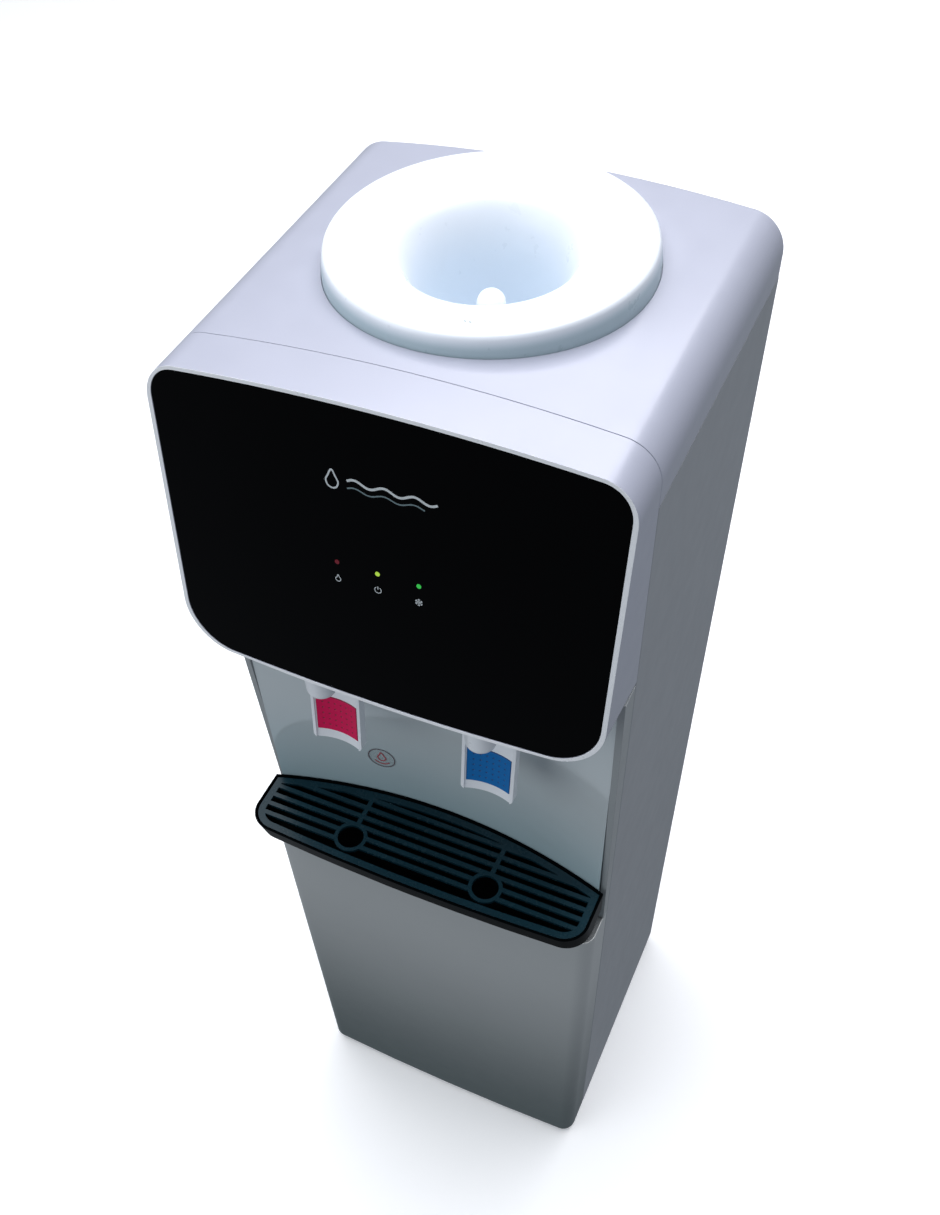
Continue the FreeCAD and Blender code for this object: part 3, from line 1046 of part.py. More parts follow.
# ================================================================ rear services
def make_drain():
    face = CABINET_REAR_Y + SEAT_GAP
    flange_y = face + DRAIN_FLANGE_THICKNESS
    spout = rod(PORT_RADIUS, (0, face - 26, DRAIN_Z), (0, face + 10, DRAIN_Z))
    spout = spout.fuse(rod(DRAIN_FLANGE_RADIUS, (0, face, DRAIN_Z), (0, flange_y, DRAIN_Z)))
    spout = spout.fuse(rod(DRAIN_RADIUS, (0, face - 9, DRAIN_Z), (0, face, DRAIN_Z)))
    spout = spout.cut(rod(PORT_BORE, (0, face - 40, DRAIN_Z), (0, face + 20, DRAIN_Z)))
    parts["drain_spout"] = spout.removeSplitter()
    cap_y = flange_y + SEAT_GAP
    bore_end = cap_y + DRAIN_CAP_LENGTH - DRAIN_CAP_END
    cap = rod(DRAIN_RADIUS, (0, cap_y, DRAIN_Z), (0, cap_y + DRAIN_CAP_LENGTH, DRAIN_Z))
    cap = cap.cut(rod(PORT_RADIUS + PIN_CLEARANCE, (0, cap_y - 1, DRAIN_Z), (0, bore_end, DRAIN_Z)))
    ring = DRAIN_RADIUS + DRAIN_FLUTE_RADIUS / 2.0
    for i in range(DRAIN_CAP_FLUTES):
        angle = 2 * math.pi * i / DRAIN_CAP_FLUTES
        x, z = ring * math.cos(angle), DRAIN_Z + ring * math.sin(angle)
        cap = cap.cut(rod(DRAIN_FLUTE_RADIUS, (x, cap_y - 1, z), (x, cap_y + 9, z)))
    parts["drain_cap"] = cap


def switch_block(x, half_w, half_h, y0, y1):
    return box(x - half_w, x + half_w, y0, y1, SWITCH_Z - half_h, SWITCH_Z + half_h)


def make_switch(side, name):
    x, z = side * SWITCH_X, SWITCH_Z
    face = CABINET_REAR_Y + 0.1
    half_w, half_h = SWITCH_HALF_WIDTH, SWITCH_HALF_HEIGHT
    well_half = ROCKER_HALF_WIDTH + SEAT_GAP
    pivot_y = face - 1.5
    housing = switch_block(x, half_w + SWITCH_BEZEL, half_h + SWITCH_BEZEL, face, face + SWITCH_BEZEL)
    housing = housing.fuse(switch_block(x, half_w - SEAT_GAP, half_h - SEAT_GAP, face - SWITCH_DEPTH, face))
    housing = housing.cut(switch_block(x, well_half, 9.6, face - SWITCH_WELL_DEPTH, face + 5))
    bearing = rod(ROCKER_PIN_RADIUS + PIN_CLEARANCE, (x - 6.4, pivot_y, z), (x + 6.4, pivot_y, z))
    housing = housing.cut(bearing)
    for dz in (-6, 6):
        housing = housing.fuse(box(x - 2.4, x + 2.4, face - 26, face - 17, z + dz - 0.4, z + dz + 0.4))
    parts[name + "_switch"] = housing.removeSplitter()
    profile = [(4.2, -8.8), (2.2, 0), (4.2, 8.8), (-2.0, 7.0), (-5.0, 3.0), (-5.0, -3.0), (-2.0, -7.0)]
    rocker = polygon_face([(x - ROCKER_HALF_WIDTH, dy, dz) for dy, dz in profile])
    rocker = rocker.extrude(V(2 * ROCKER_HALF_WIDTH, 0, 0))
    rocker = rocker.fuse(rod(ROCKER_PIN_RADIUS, (x - 6.2, 0, 0), (x + 6.2, 0, 0))).removeSplitter()
    rocker.rotate(V(x, 0, 0), V(1, 0, 0), -ROCKER_TILT)
    rocker.translate(V(0, pivot_y, z))
    parts[name + "_rocker"] = rocker


def make_gland():
    face = CABINET_REAR_Y + 0.1
    gland = rod(GLAND_RADIUS + 3, (GLAND_X, face, DRAIN_Z), (GLAND_X, face + 3, DRAIN_Z))
    gland = gland.fuse(rod(GLAND_RADIUS - 0.2, (GLAND_X, face - 8, DRAIN_Z), (GLAND_X, face, DRAIN_Z)))
    cone = Part.makeCone(GLAND_RADIUS, GLAND_RADIUS - 2, 9, V(GLAND_X, face + 3, DRAIN_Z), V(0, 1, 0))
    gland = gland.fuse(cone).cut(rod(3.6, (GLAND_X, face - 20, DRAIN_Z), (GLAND_X, face + 30, DRAIN_Z)))
    parts["cord_gland"] = gland.removeSplitter()


def make_condenser():
    y = CABINET_REAR_Y + CONDENSER_GAP
    half = CONDENSER_HALF_WIDTH
    points = [(-half, CONDENSER_TAIL_Y, CONDENSER_BASE_Z), (-half, y, CONDENSER_BASE_Z)]
    for i in range(CONDENSER_RUNS):
        z = CONDENSER_BASE_Z + i * CONDENSER_PITCH
        far = half if i % 2 == 0 else -half
        if i > 0:
            points.append((-far, y, z))
        if i < CONDENSER_RUNS - 1:
            points.append((far, y, z))
    top_z = CONDENSER_BASE_Z + (CONDENSER_RUNS - 1) * CONDENSER_PITCH
    points += [(DOWN_PIPE_X, y, top_z), (DOWN_PIPE_X, y, DOWN_PIPE_Z)]
    points.append((DOWN_PIPE_X, CONDENSER_TAIL_Y, DOWN_PIPE_Z))
    parts["condenser_tube"] = pipe(points, CONDENSER_TUBE, CONDENSER_PITCH / 2.0)
    wires = []
    for i in range(WIRE_COUNT):
        x = (i - (WIRE_COUNT - 1) / 2.0) * WIRE_PITCH
        for offset in (-WIRE_PLANE, WIRE_PLANE):
            wires.append(rod(WIRE_RADIUS, (x, y + offset, CONDENSER_BASE_Z - 15),
                             (x, y + offset, top_z + 15)))
    parts["condenser_wires"] = Part.makeCompound(wires)
    brackets = []
    strip_y = CABINET_REAR_Y + 0.1
    post_end = y - CONDENSER_TUBE - 0.1
    for run in BRACKET_RUNS:
        z = CONDENSER_BASE_Z + run * CONDENSER_PITCH
        for side in (-1, 1):
            xs = sorted((side * (BRACKET_POST_X - 5), side * (HALF - 3)))
            strip = box(xs[0], xs[1], strip_y, strip_y + 1.2, z - 7, z + 7)
            post = rod(2.5, (side * BRACKET_POST_X, strip_y + 0.5, z), (side * BRACKET_POST_X, post_end, z))
            hole = rod(SCREW_RADIUS + 0.1, (side * SCREW_X, strip_y - 2, z), (side * SCREW_X, strip_y + 4, z))
            brackets.append(strip.fuse(post).cut(hole).removeSplitter())
    parts["condenser_brackets"] = Part.makeCompound(brackets)


def screw_places():
    """Depth of the seat and height of every rear screw on one side."""
    rise = (SCREW_TOP_Z - SCREW_BASE_Z) / (SCREW_ROWS - 1)
    places = [(CABINET_REAR_Y + 0.05, SCREW_BASE_Z + i * rise) for i in range(SCREW_ROWS)]
    for run in BRACKET_RUNS:
        places.append((CABINET_REAR_Y + 1.35, CONDENSER_BASE_Z + run * CONDENSER_PITCH))
    return places


def make_screws():
    screws = []
    for seat_y, z in screw_places():
        head_y = seat_y + SCREW_HEAD_THICKNESS
        slot_y = head_y - 0.8
        for x in (-SCREW_X, SCREW_X):
            head = rod(SCREW_HEAD_RADIUS, (x, seat_y, z), (x, head_y, z))
            head = head.makeFillet(1.2, [e for e in head.Edges if e.BoundBox.YMin > head_y - 0.1])
            shank = rod(SCREW_RADIUS, (x, seat_y - SCREW_LENGTH, z), (x, seat_y, z))
            slots = box(x - 2.2, x + 2.2, slot_y, head_y + 1, z - 0.35, z + 0.35)
            slots = slots.fuse(box(x - 0.35, x + 0.35, slot_y, head_y + 1, z - 2.2, z + 2.2))
            screws.append(head.fuse(shank).cut(slots).removeSplitter())
    parts["rear_screws"] = Part.makeCompound(screws)


def make_compressor():
    x, y = COMPRESSOR_X, COMPRESSOR_Y
    floor = CABINET_BASE_Z + BASE_SHEET
    plate_z = floor + GROMMET_HEIGHT + 0.2
    base = plate_z + 2.0
    shell = rod(COMPRESSOR_RADIUS, (x, y, base), (x, y, base + COMPRESSOR_HEIGHT))
    shell = shell.makeFillet(24.0, [e for e in shell.Edges if e.BoundBox.ZLength < 0.01])
    seam_z = base + COMPRESSOR_HEIGHT * 0.45
    shell = shell.fuse(rod(COMPRESSOR_RADIUS + 2.5, (x, y, seam_z), (x, y, seam_z + 6)))
    plate = box(x - MOUNT_X - 12, x + MOUNT_X + 12, y - MOUNT_Y - 12, y + MOUNT_Y + 12,
                plate_z, plate_z + 2.5)
    suction = rod(PIPE_RADIUS, (x + 50, y, SUCTION_Z), (x + COMPRESSOR_RADIUS + 8, y, SUCTION_Z))
    discharge = rod(PIPE_RADIUS, (x, y + 50, DISCHARGE_Z), (x, y + COMPRESSOR_RADIUS + 6, DISCHARGE_Z))
    body = fuse_all([shell, plate, suction, discharge])
    grommets, bolts = [], []
    for sx in (-1, 1):
        for sy in (-1, 1):
            gx, gy = x + sx * MOUNT_X, y + sy * MOUNT_Y
            body = body.cut(rod(3.3, (gx, gy, plate_z - 2), (gx, gy, plate_z + 5)))
            grommets.append(tube(GROMMET_RADIUS, 3.2, (gx, gy, floor + 0.1), (gx, gy, plate_z - 0.1)))
            bolt = rod(3.0, (gx, gy, floor + 0.2), (gx, gy, plate_z + 2.6))
            bolts.append(bolt.fuse(rod(6.0, (gx, gy, plate_z + 2.6), (gx, gy, plate_z + 6))).removeSplitter())
    parts["compressor"] = body.removeSplitter()
    parts["compressor_grommets"] = Part.makeCompound(grommets)
    parts["compressor_bolts"] = Part.makeCompound(bolts)
    cover_x = x - COMPRESSOR_RADIUS - 2.7
    cover = box(cover_x - 24, cover_x, y - 22, y + 22, base + 22, seam_z + 34)
    cover = cover.makeFillet(3.0, [e for e in cover.Edges if e.BoundBox.XMax < cover_x - 23.9])
    parts["relay_cover"] = cover


def make_pipes():
    x, y = COMPRESSOR_X, COMPRESSOR_Y
    start = (FOAM_BORE - 0.3, SEAT_Y, COIL_TOP_Z)
    suction = [start, (SUCTION_X, SEAT_Y, COIL_TOP_Z), (SUCTION_X, SEAT_Y, SUCTION_Z + 60)]
    suction += [(SUCTION_X, y, SUCTION_Z + 30), (SUCTION_X, y, SUCTION_Z)]
    suction.append((x + COMPRESSOR_RADIUS + 8, y, SUCTION_Z))
    parts["suction_pipe"] = pipe(suction, PIPE_RADIUS, 14.0)
    out_y = y + COMPRESSOR_RADIUS + 6
    discharge = [(x, out_y, DISCHARGE_Z), (x, out_y + 12, DISCHARGE_Z), (x, out_y + 12, DISCHARGE_Z + 50)]
    discharge += [(DOWN_PIPE_X, out_y + 12, DISCHARGE_Z + 50), (DOWN_PIPE_X, out_y - 30, DOWN_PIPE_Z - 30)]
    discharge += [(DOWN_PIPE_X, out_y - 30, DOWN_PIPE_Z), (DOWN_PIPE_X, CONDENSER_TAIL_Y, DOWN_PIPE_Z)]
    parts["discharge_pipe"] = pipe(discharge, CONDENSER_TUBE, 10.0)
    drier_x, drier_z = -CONDENSER_HALF_WIDTH, CONDENSER_BASE_Z
    drier_end = CONDENSER_TAIL_Y - 100.0
    drier = rod(9.0, (drier_x, CONDENSER_TAIL_Y - 10, drier_z), (drier_x, drier_end + 10, drier_z))
    drier = drier.makeFillet(5.0, [e for e in drier.Edges if e.BoundBox.YLength < 0.01])
    drier = drier.fuse(rod(CONDENSER_TUBE, (drier_x, CONDENSER_TAIL_Y, drier_z),
                           (drier_x, drier_end, drier_z)))
    parts["filter_drier"] = drier.removeSplitter()
    crossing_z = LOWER_SHELF_Z - 60
    capillary = [(drier_x, drier_end, drier_z), (drier_x, drier_end - 30, drier_z)]
    capillary += [(drier_x, drier_end - 30, crossing_z), (-COIL_RADIUS, SEAT_Y - 45, crossing_z)]
    capillary += [(COIL_RADIUS, SEAT_Y, crossing_z), (COIL_RADIUS, SEAT_Y, COIL_BASE_Z - COIL_TUBE - 0.2)]
    parts["capillary_tube"] = pipe(capillary, CAPILLARY_RADIUS, 12.0)


def make_label():
    curved = splash_slab(-0.35, -0.05, 100, LABEL_Z - 2 * LABEL_RADIUS, LABEL_Z + 2 * LABEL_RADIUS)
    parts["bay_label"] = curved.common(rod(LABEL_RADIUS, (LABEL_X, 0, LABEL_Z), (LABEL_X, 100, LABEL_Z)))


SHARED_NODES = {
    "bay_trims": ("left_bay_trim", "right_bay_trim"),
    "tap_nuts": ("hot_tap_nut", "cold_tap_nut"),
    "tap_caps": ("hot_tap_cap", "cold_tap_cap"),
    "switch_housings": ("hot_switch", "cold_switch"),
    "tank_hoses": ("transfer_hose", "drain_hose"),
    "tank_insulation": ("insulation_front", "insulation_rear", "hot_tank_jacket"),
    "refrigerant_pipes": ("suction_pipe", "discharge_pipe", "capillary_tube"),
    "condenser_frame": ("condenser_wires", "condenser_brackets"),
    "fasteners": ("rear_screws", "compressor_bolts"),
}


def share_nodes():
    """Like pieces on one body share a node, each still its own solid."""
    for name, members in SHARED_NODES.items():
        solids = []
        for member in members:
            solids += parts.pop(member).Solids
        parts[name] = Part.makeCompound(solids)


def export_all():
    shift = V(0, -MIDDLE_Y, 0)
    for name, shape in parts.items():
        placed = shape.copy()
        placed.translate(shift)
        placed.exportStep("parts/" + name + ".step")


make_head()
make_top_cover()
make_bay()
make_tray()
make_lower_front()
make_tray_shelf()
make_side_panels()
make_rear_panel()
make_base()
make_shelves()
make_seat()
make_probe()
make_tap(-1, "hot")
make_tap(1, "cold")
make_cold_tank()
make_hot_tank()
make_hoses()
make_drain()
make_switch(-1, "hot")
make_switch(1, "cold")
make_gland()
make_condenser()
make_screws()
make_compressor()
make_pipes()
make_label()
share_nodes()
export_all()
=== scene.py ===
"""Floor-standing hot and cold water dispenser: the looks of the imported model, in metres."""
import bmesh
import bpy
import json
import math
from mathutils import Matrix, Vector
from mathutils.bvhtree import BVHTree


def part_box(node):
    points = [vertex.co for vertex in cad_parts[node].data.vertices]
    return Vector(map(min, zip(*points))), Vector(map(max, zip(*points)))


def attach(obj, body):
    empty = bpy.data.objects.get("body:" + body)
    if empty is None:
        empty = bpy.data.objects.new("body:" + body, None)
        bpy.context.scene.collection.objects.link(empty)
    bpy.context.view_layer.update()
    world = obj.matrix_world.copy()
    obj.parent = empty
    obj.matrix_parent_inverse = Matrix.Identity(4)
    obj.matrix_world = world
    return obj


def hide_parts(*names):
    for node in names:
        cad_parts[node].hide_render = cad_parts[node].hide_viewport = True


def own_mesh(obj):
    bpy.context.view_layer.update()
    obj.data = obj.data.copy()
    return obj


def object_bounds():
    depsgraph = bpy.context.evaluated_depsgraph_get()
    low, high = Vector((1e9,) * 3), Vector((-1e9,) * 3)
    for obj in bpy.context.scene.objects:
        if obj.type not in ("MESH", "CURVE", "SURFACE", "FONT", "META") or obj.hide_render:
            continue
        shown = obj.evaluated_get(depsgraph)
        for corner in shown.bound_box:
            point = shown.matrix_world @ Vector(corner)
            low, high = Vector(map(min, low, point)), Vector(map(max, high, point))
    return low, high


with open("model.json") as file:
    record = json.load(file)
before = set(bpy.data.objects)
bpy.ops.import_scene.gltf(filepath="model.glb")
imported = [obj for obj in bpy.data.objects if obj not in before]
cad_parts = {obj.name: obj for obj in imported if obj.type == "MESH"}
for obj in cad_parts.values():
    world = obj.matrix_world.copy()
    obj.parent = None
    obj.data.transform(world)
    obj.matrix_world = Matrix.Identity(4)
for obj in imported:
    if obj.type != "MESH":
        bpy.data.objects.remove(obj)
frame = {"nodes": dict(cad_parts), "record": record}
cad_low, cad_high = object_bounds()
nodes = frame["nodes"]


# ---------------------------------------------------------------- materials
MIX_SHARE, MIX_FIRST, MIX_SECOND, MIX_RESULT = 0, 6, 7, 2       # a Mix node's sockets for colours
NOISE_LOW, NOISE_HIGH = 0.3, 0.7                                # nearly all of a noise lies between
WHITE = (1.0, 1.0, 1.0, 1.0)


def add_node(tree, kind, **values):
    """A new node with some of its inputs or settings filled in."""
    node = tree.nodes.new(kind)
    for name, value in values.items():
        if name in node.inputs:
            node.inputs[name].default_value = value
        else:
            setattr(node, name, value)
    return node


def noise(tree, scale, detail=4.0, roughness=0.55, stretch=(1.0, 1.0, 1.0)):
    """Noise in the object's own coordinates, which are metres; its grain is about 1/scale metres."""
    place = tree.nodes.new("ShaderNodeTexCoord")
    mapping = add_node(tree, "ShaderNodeMapping", Scale=stretch)
    tree.links.new(place.outputs["Object"], mapping.inputs["Vector"])
    node = add_node(tree, "ShaderNodeTexNoise", Scale=scale, Detail=detail, Roughness=roughness)
    tree.links.new(mapping.outputs["Vector"], node.inputs["Vector"])
    return node.outputs["Fac"]


def spread(tree, source, low, high):
    """The noise, spread out between low and high."""
    node = add_node(tree, "ShaderNodeMapRange")
    node.inputs["From Min"].default_value = NOISE_LOW
    node.inputs["From Max"].default_value = NOISE_HIGH
    node.inputs["To Min"].default_value = low
    node.inputs["To Max"].default_value = high
    tree.links.new(source, node.inputs["Value"])
    return node.outputs["Result"]


def shaded(colour, share):
    """The colour made darker or lighter, with its alpha."""
    return (*(min(1.0, c * share) for c in colour), 1.0)


def surface(name, colour, roughness, metallic=0.0, variation=0.03, patch=9.0, rough_spread=0.04,
            grain=900.0, bump=0.00002, stretch=(1.0, 1.0, 1.0), **inputs):
    """A moulded, painted or rolled surface: patchy colour and gloss, and a fine grain in its relief."""
    made = bpy.data.materials.new(name)
    made.use_nodes = True
    tree = made.node_tree
    shader = tree.nodes["Principled BSDF"]
    shader.inputs["Metallic"].default_value = metallic
    for socket, value in inputs.items():
        shader.inputs[socket.replace("_", " ")].default_value = value
    tones = add_node(tree, "ShaderNodeMix", data_type="RGBA")
    tones.inputs[MIX_FIRST].default_value = shaded(colour, 1.0 - variation)
    tones.inputs[MIX_SECOND].default_value = shaded(colour, 1.0 + variation)
    tree.links.new(spread(tree, noise(tree, patch), 0.0, 1.0), tones.inputs[MIX_SHARE])
    tree.links.new(tones.outputs[MIX_RESULT], shader.inputs["Base Color"])
    gloss = spread(tree, noise(tree, patch * 6, 6.0), roughness - rough_spread, roughness + rough_spread)
    tree.links.new(gloss, shader.inputs["Roughness"])
    relief = add_node(tree, "ShaderNodeBump", Strength=1.0, Distance=bump)
    tree.links.new(noise(tree, grain, 3.0, 0.5, stretch), relief.inputs["Height"])
    tree.links.new(relief.outputs["Normal"], shader.inputs["Normal"])
    return made


def lamp(name, colour, strength):
    """The finish of a lit light pipe."""
    made = surface(name, colour, 0.2, variation=0.08, patch=400.0)
    shader = made.node_tree.nodes["Principled BSDF"]
    shader.inputs["Emission Color"].default_value = (*colour, 1.0)
    shader.inputs["Emission Strength"].default_value = strength
    return made


def with_painted_shade(made, low_z, high_z, shade_tint):
    """The finish tinted at low_z and its own colour from high_z up: painted shade, growing towards
    low_z.
    """
    tree = made.node_tree
    shader = tree.nodes["Principled BSDF"]
    source = shader.inputs["Base Color"].links[0].from_socket
    place = tree.nodes.new("ShaderNodeTexCoord")
    axes = tree.nodes.new("ShaderNodeSeparateXYZ")
    tree.links.new(place.outputs["Object"], axes.inputs["Vector"])
    ramp = add_node(tree, "ShaderNodeMapRange", interpolation_type="SMOOTHSTEP")
    ramp.inputs["From Min"].default_value = low_z
    ramp.inputs["From Max"].default_value = high_z
    tree.links.new(axes.outputs["Z"], ramp.inputs["Value"])
    tint = add_node(tree, "ShaderNodeMix", data_type="RGBA")
    tint.inputs[MIX_FIRST].default_value = (*shade_tint, 1.0)
    tint.inputs[MIX_SECOND].default_value = WHITE
    tree.links.new(ramp.outputs["Result"], tint.inputs[MIX_SHARE])
    product = add_node(tree, "ShaderNodeMix", data_type="RGBA", blend_type="MULTIPLY")
    product.inputs[MIX_SHARE].default_value = 1.0
    tree.links.new(source, product.inputs[MIX_FIRST])
    tree.links.new(tint.outputs[MIX_RESULT], product.inputs[MIX_SECOND])
    tree.links.new(product.outputs[MIX_RESULT], shader.inputs["Base Color"])
    return made


SEAT_TOP_Z = cad_high.z
FINISHES = {
    "pearl_plastic": surface("pearl_plastic", (0.415, 0.430, 0.520), 0.34, 0.12, variation=0.015,
                             bump=0.000006, Coat_Weight=0.35, Coat_Roughness=0.15),
    "black_glass": surface("black_glass", (0.0006, 0.0006, 0.0008), 0.09, rough_spread=0.02,
                           bump=0.000002, Specular_IOR_Level=0.05),
    "white_plastic": surface("white_plastic", (0.92, 0.94, 0.98), 0.30, variation=0.01, bump=0.000004,
                             Coat_Weight=0.2, Coat_Roughness=0.2),
    "grey_steel": surface("grey_steel", (0.36, 0.375, 0.40), 0.42, 0.1, variation=0.02, grain=1500.0,
                          bump=0.00001),
    # the splash is painted darker and bluer towards the tray below: painted shade and a painted
    # reflection of the tray's teal sheen
    "silver_splash": with_painted_shade(surface("silver_splash", (0.68, 0.73, 0.75), 0.08, 0.18, variation=0.02,
                                   rough_spread=0.01, bump=0.000002), 0.46, 0.66, (0.62, 0.84, 0.90)),
    "trim_grey": surface("trim_grey", (0.34, 0.36, 0.37), 0.40, bump=0.00002),
    # the lower panel is painted darker towards the floor: painted shade
    "lower_grey": with_painted_shade(surface("lower_grey", (0.50, 0.515, 0.515), 0.36, 0.30, variation=0.015,
                                rough_spread=0.02, bump=0.000004), 0.0, 0.44, (0.17, 0.22, 0.22)),
    "tray_black": surface("tray_black", (0.0010, 0.0016, 0.0020), 0.16, rough_spread=0.02, bump=0.000004,
                          IOR=1.03),
    "hot_red": surface("hot_red", (0.74, 0.004, 0.095), 0.40, Specular_IOR_Level=0.2),
    "cold_blue": surface("cold_blue", (0.001, 0.155, 0.47), 0.40, Specular_IOR_Level=0.2),
    "lamp_red": lamp("lamp_red", (0.16, 0.005, 0.015), 0.10),
    "lamp_amber": lamp("lamp_amber", (0.35, 0.55, 0.05), 0.6),
    "lamp_green": lamp("lamp_green", (0.03, 0.45, 0.06), 0.5),
    "board_green": surface("board_green", (0.01, 0.08, 0.03), 0.35),
    "stainless": surface("stainless", (0.55, 0.56, 0.57), 0.28, 1.0, grain=700.0,
                         stretch=(1.0, 1.0, 0.05)),
    "zinc_steel": surface("zinc_steel", (0.42, 0.44, 0.46), 0.38, 0.9, variation=0.10, patch=60.0),
    "foam": surface("foam", (0.72, 0.66, 0.45), 0.85, variation=0.08, grain=300.0, bump=0.0004),
    "silicone": surface("silicone", (0.70, 0.72, 0.72), 0.40, Transmission_Weight=0.3),
    "copper": surface("copper", (0.62, 0.24, 0.12), 0.30, 1.0, variation=0.12, patch=40.0),
    "black_enamel": surface("black_enamel", (0.012, 0.012, 0.013), 0.30, bump=0.00005),
    "black_rubber": surface("black_rubber", (0.015, 0.015, 0.015), 0.75, bump=0.00008),
    "black_plastic": surface("black_plastic", (0.018, 0.018, 0.019), 0.45, bump=0.00006),
    "switch_red": surface("switch_red", (0.45, 0.01, 0.01), 0.30),
    "switch_green": surface("switch_green", (0.01, 0.20, 0.04), 0.30),
    "label_film": surface("label_film", (0.50, 0.56, 0.56), 0.14, Alpha=0.15),
}
# the seat's bowl is painted darker and bluer with depth: painted shade down the funnel
SEAT_FINISH = with_painted_shade(surface("seat_white", (0.83, 0.87, 0.93), 0.30, variation=0.01, bump=0.000001),
                    SEAT_TOP_Z - 0.050, SEAT_TOP_Z - 0.006, (0.81, 0.87, 0.91))
# the ring's outer wall is painted darker below its rim: painted shade
SEAT_WALL_PAINTED_SHADE = with_painted_shade(surface("seat_wall_painted_shade", (0.83, 0.87, 0.93), 0.30, variation=0.01, bump=0.000001),
                         SEAT_TOP_Z - 0.010, SEAT_TOP_Z - 0.002, (0.52, 0.62, 0.63))
# the rim round the glass: its own silver, brightened by a painted highlight where it catches the front
# light
RIM_SILVER_AND_HIGHLIGHT = surface("rim_silver_and_highlight", (0.92, 0.93, 0.96), 0.30, 0.10, variation=0.015, bump=0.000006)
SHELF_FINISH = surface("shelf_dark", (0.030, 0.034, 0.036), 0.40, bump=0.00001, Specular_IOR_Level=0.2)
# the lower panel's top, painted darker: painted shade under the tray
LEDGE_FINISH = surface("ledge_shade", (0.16, 0.17, 0.175), 0.45, bump=0.00001)
# black slats tinted teal: the black is their own, the teal is a painted sheen of the splash mirrored in
# them
GRILLE_BLACK_AND_SHEEN = surface("grille_black_painted_sheen", (0.005, 0.026, 0.038), 0.26, variation=0.10, patch=30.0,
                        bump=0.00001, Specular_IOR_Level=0.15)
PRINT_WHITE = surface("print_white", (0.56, 0.60, 0.62), 0.45, variation=0.06, patch=300.0)
PRINT_GREY = surface("print_grey", (0.14, 0.20, 0.22), 0.45, variation=0.06, patch=300.0)
PRINT_RED = surface("print_red", (0.48, 0.10, 0.12), 0.40, variation=0.06, patch=300.0)
PRINT_DARK = surface("print_dark", (0.12, 0.07, 0.09), 0.40, variation=0.06, patch=300.0)
# darker pad colours for the dimples and the pad's outline: painted shade in the hollows and in the gap
# round the pad
PAD_SHADE_FINISHES = {"hot": surface("hot_red_painted_shade", (0.36, 0.004, 0.050), 0.45),
                   "cold": surface("cold_blue_painted_shade", (0.001, 0.075, 0.27), 0.45)}


def finish_nodes():
    """Gives every CAD node the finish of its slot."""
    for entry in frame["record"]["subparts"]:
        mesh = nodes[entry["node"]].data
        mesh.materials.clear()
        mesh.materials.append(FINISHES[entry["material_slot"]])


# ---------------------------------------------------------------- pieces
SLOTS = {entry["node"]: entry["material_slot"] for entry in frame["record"]["subparts"]}
BODIES = {node: body
          for body, members in frame["record"]["behaviour"]["bodies"].items()
          for node in members}
WELD_DISTANCE = 0.000002
FLAT_DEGREES = 0.8          # faces that meet flatter than this are made one
SHARP_DEGREES = 28.0        # edges sharper than this are rounded
ROUNDING_STEPS = 3
AROUND = 128                # points round a surface of revolution


def add_piece(name, mesh, body, slot, replaced=(), finish=None):
    """A visible piece that rides on a body and stands for the CAD nodes it replaces."""
    piece = bpy.data.objects.new(name, mesh)
    bpy.context.scene.collection.objects.link(piece)
    mesh.materials.clear()
    mesh.materials.append(finish or FINISHES[slot])
    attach(piece, body)
    if replaced:
        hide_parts(*replaced)
    return piece


def applied(piece):
    """The piece's modifiers, made part of its mesh."""
    evaluated = piece.evaluated_get(bpy.context.evaluated_depsgraph_get())
    mesh = bpy.data.meshes.new_from_object(evaluated)
    piece.modifiers.clear()
    piece.data = mesh
    return piece


def softened(node, width, finish=None):
    """Stands for a CAD node: the same shape with its edges rounded over, as a moulding's are."""
    mesh = nodes[node].data.copy()
    mesh.name = "soft_" + node
    work = bmesh.new()
    work.from_mesh(mesh)
    bmesh.ops.remove_doubles(work, verts=work.verts, dist=WELD_DISTANCE)
    bmesh.ops.dissolve_limit(work, angle_limit=math.radians(FLAT_DEGREES), verts=work.verts,
                             edges=work.edges)
    for face in work.faces:
        face.smooth = True
    work.to_mesh(mesh)
    work.free()
    if mesh.has_custom_normals:
        mesh.attributes.remove(mesh.attributes["custom_normal"])
    piece = add_piece("soft_" + node, mesh, BODIES[node], SLOTS[node], (node,), finish)
    rounding = piece.modifiers.new("rounding", "BEVEL")
    rounding.width = width
    rounding.segments = ROUNDING_STEPS
    rounding.limit_method = "ANGLE"
    rounding.angle_limit = math.radians(SHARP_DEGREES)
    rounding.harden_normals = True
    return applied(piece)


def smooth_line(points, steps):
    """Points along a smooth curve through the given ones (Catmull-Rom)."""
    padded = [points[0]] + list(points) + [points[-1]]
    line = []
    for before, start, end, after in zip(padded, padded[1:], padded[2:], padded[3:]):
        for step in range(steps):
            t = step / steps
            line.append(tuple(0.5 * (2 * b + (c - a) * t + (2 * a - 5 * b + 4 * c - d) * t ** 2
                                     + (3 * b - a - 3 * c + d) * t ** 3)
                              for a, b, c, d in zip(before, start, end, after)))
    line.append(points[-1])
    return line


def revolved(name, profile, centre):
    """Surface of revolution of (radius, height) points about the upright axis through centre."""
    turns = [2 * math.pi * i / AROUND for i in range(AROUND)]
    rings = []
    for radius, height in profile:
        rings.append([(centre[0] + radius * math.cos(a), centre[1] + radius * math.sin(a), height)
                      for a in turns])
    return ringed(name, rings)


def ringed(name, rings):
    """Quads between rings of equally many points."""
    count = len(rings[0])
    faces = []
    for low in range(0, (len(rings) - 1) * count, count):
        for i in range(count):
            j = (i + 1) % count
            faces.append((low + i, low + j, low + count + j, low + count + i))
    mesh = bpy.data.meshes.new(name)
    mesh.from_pydata([p for ring in rings for p in ring], [], faces)
    mesh.shade_smooth()
    return mesh


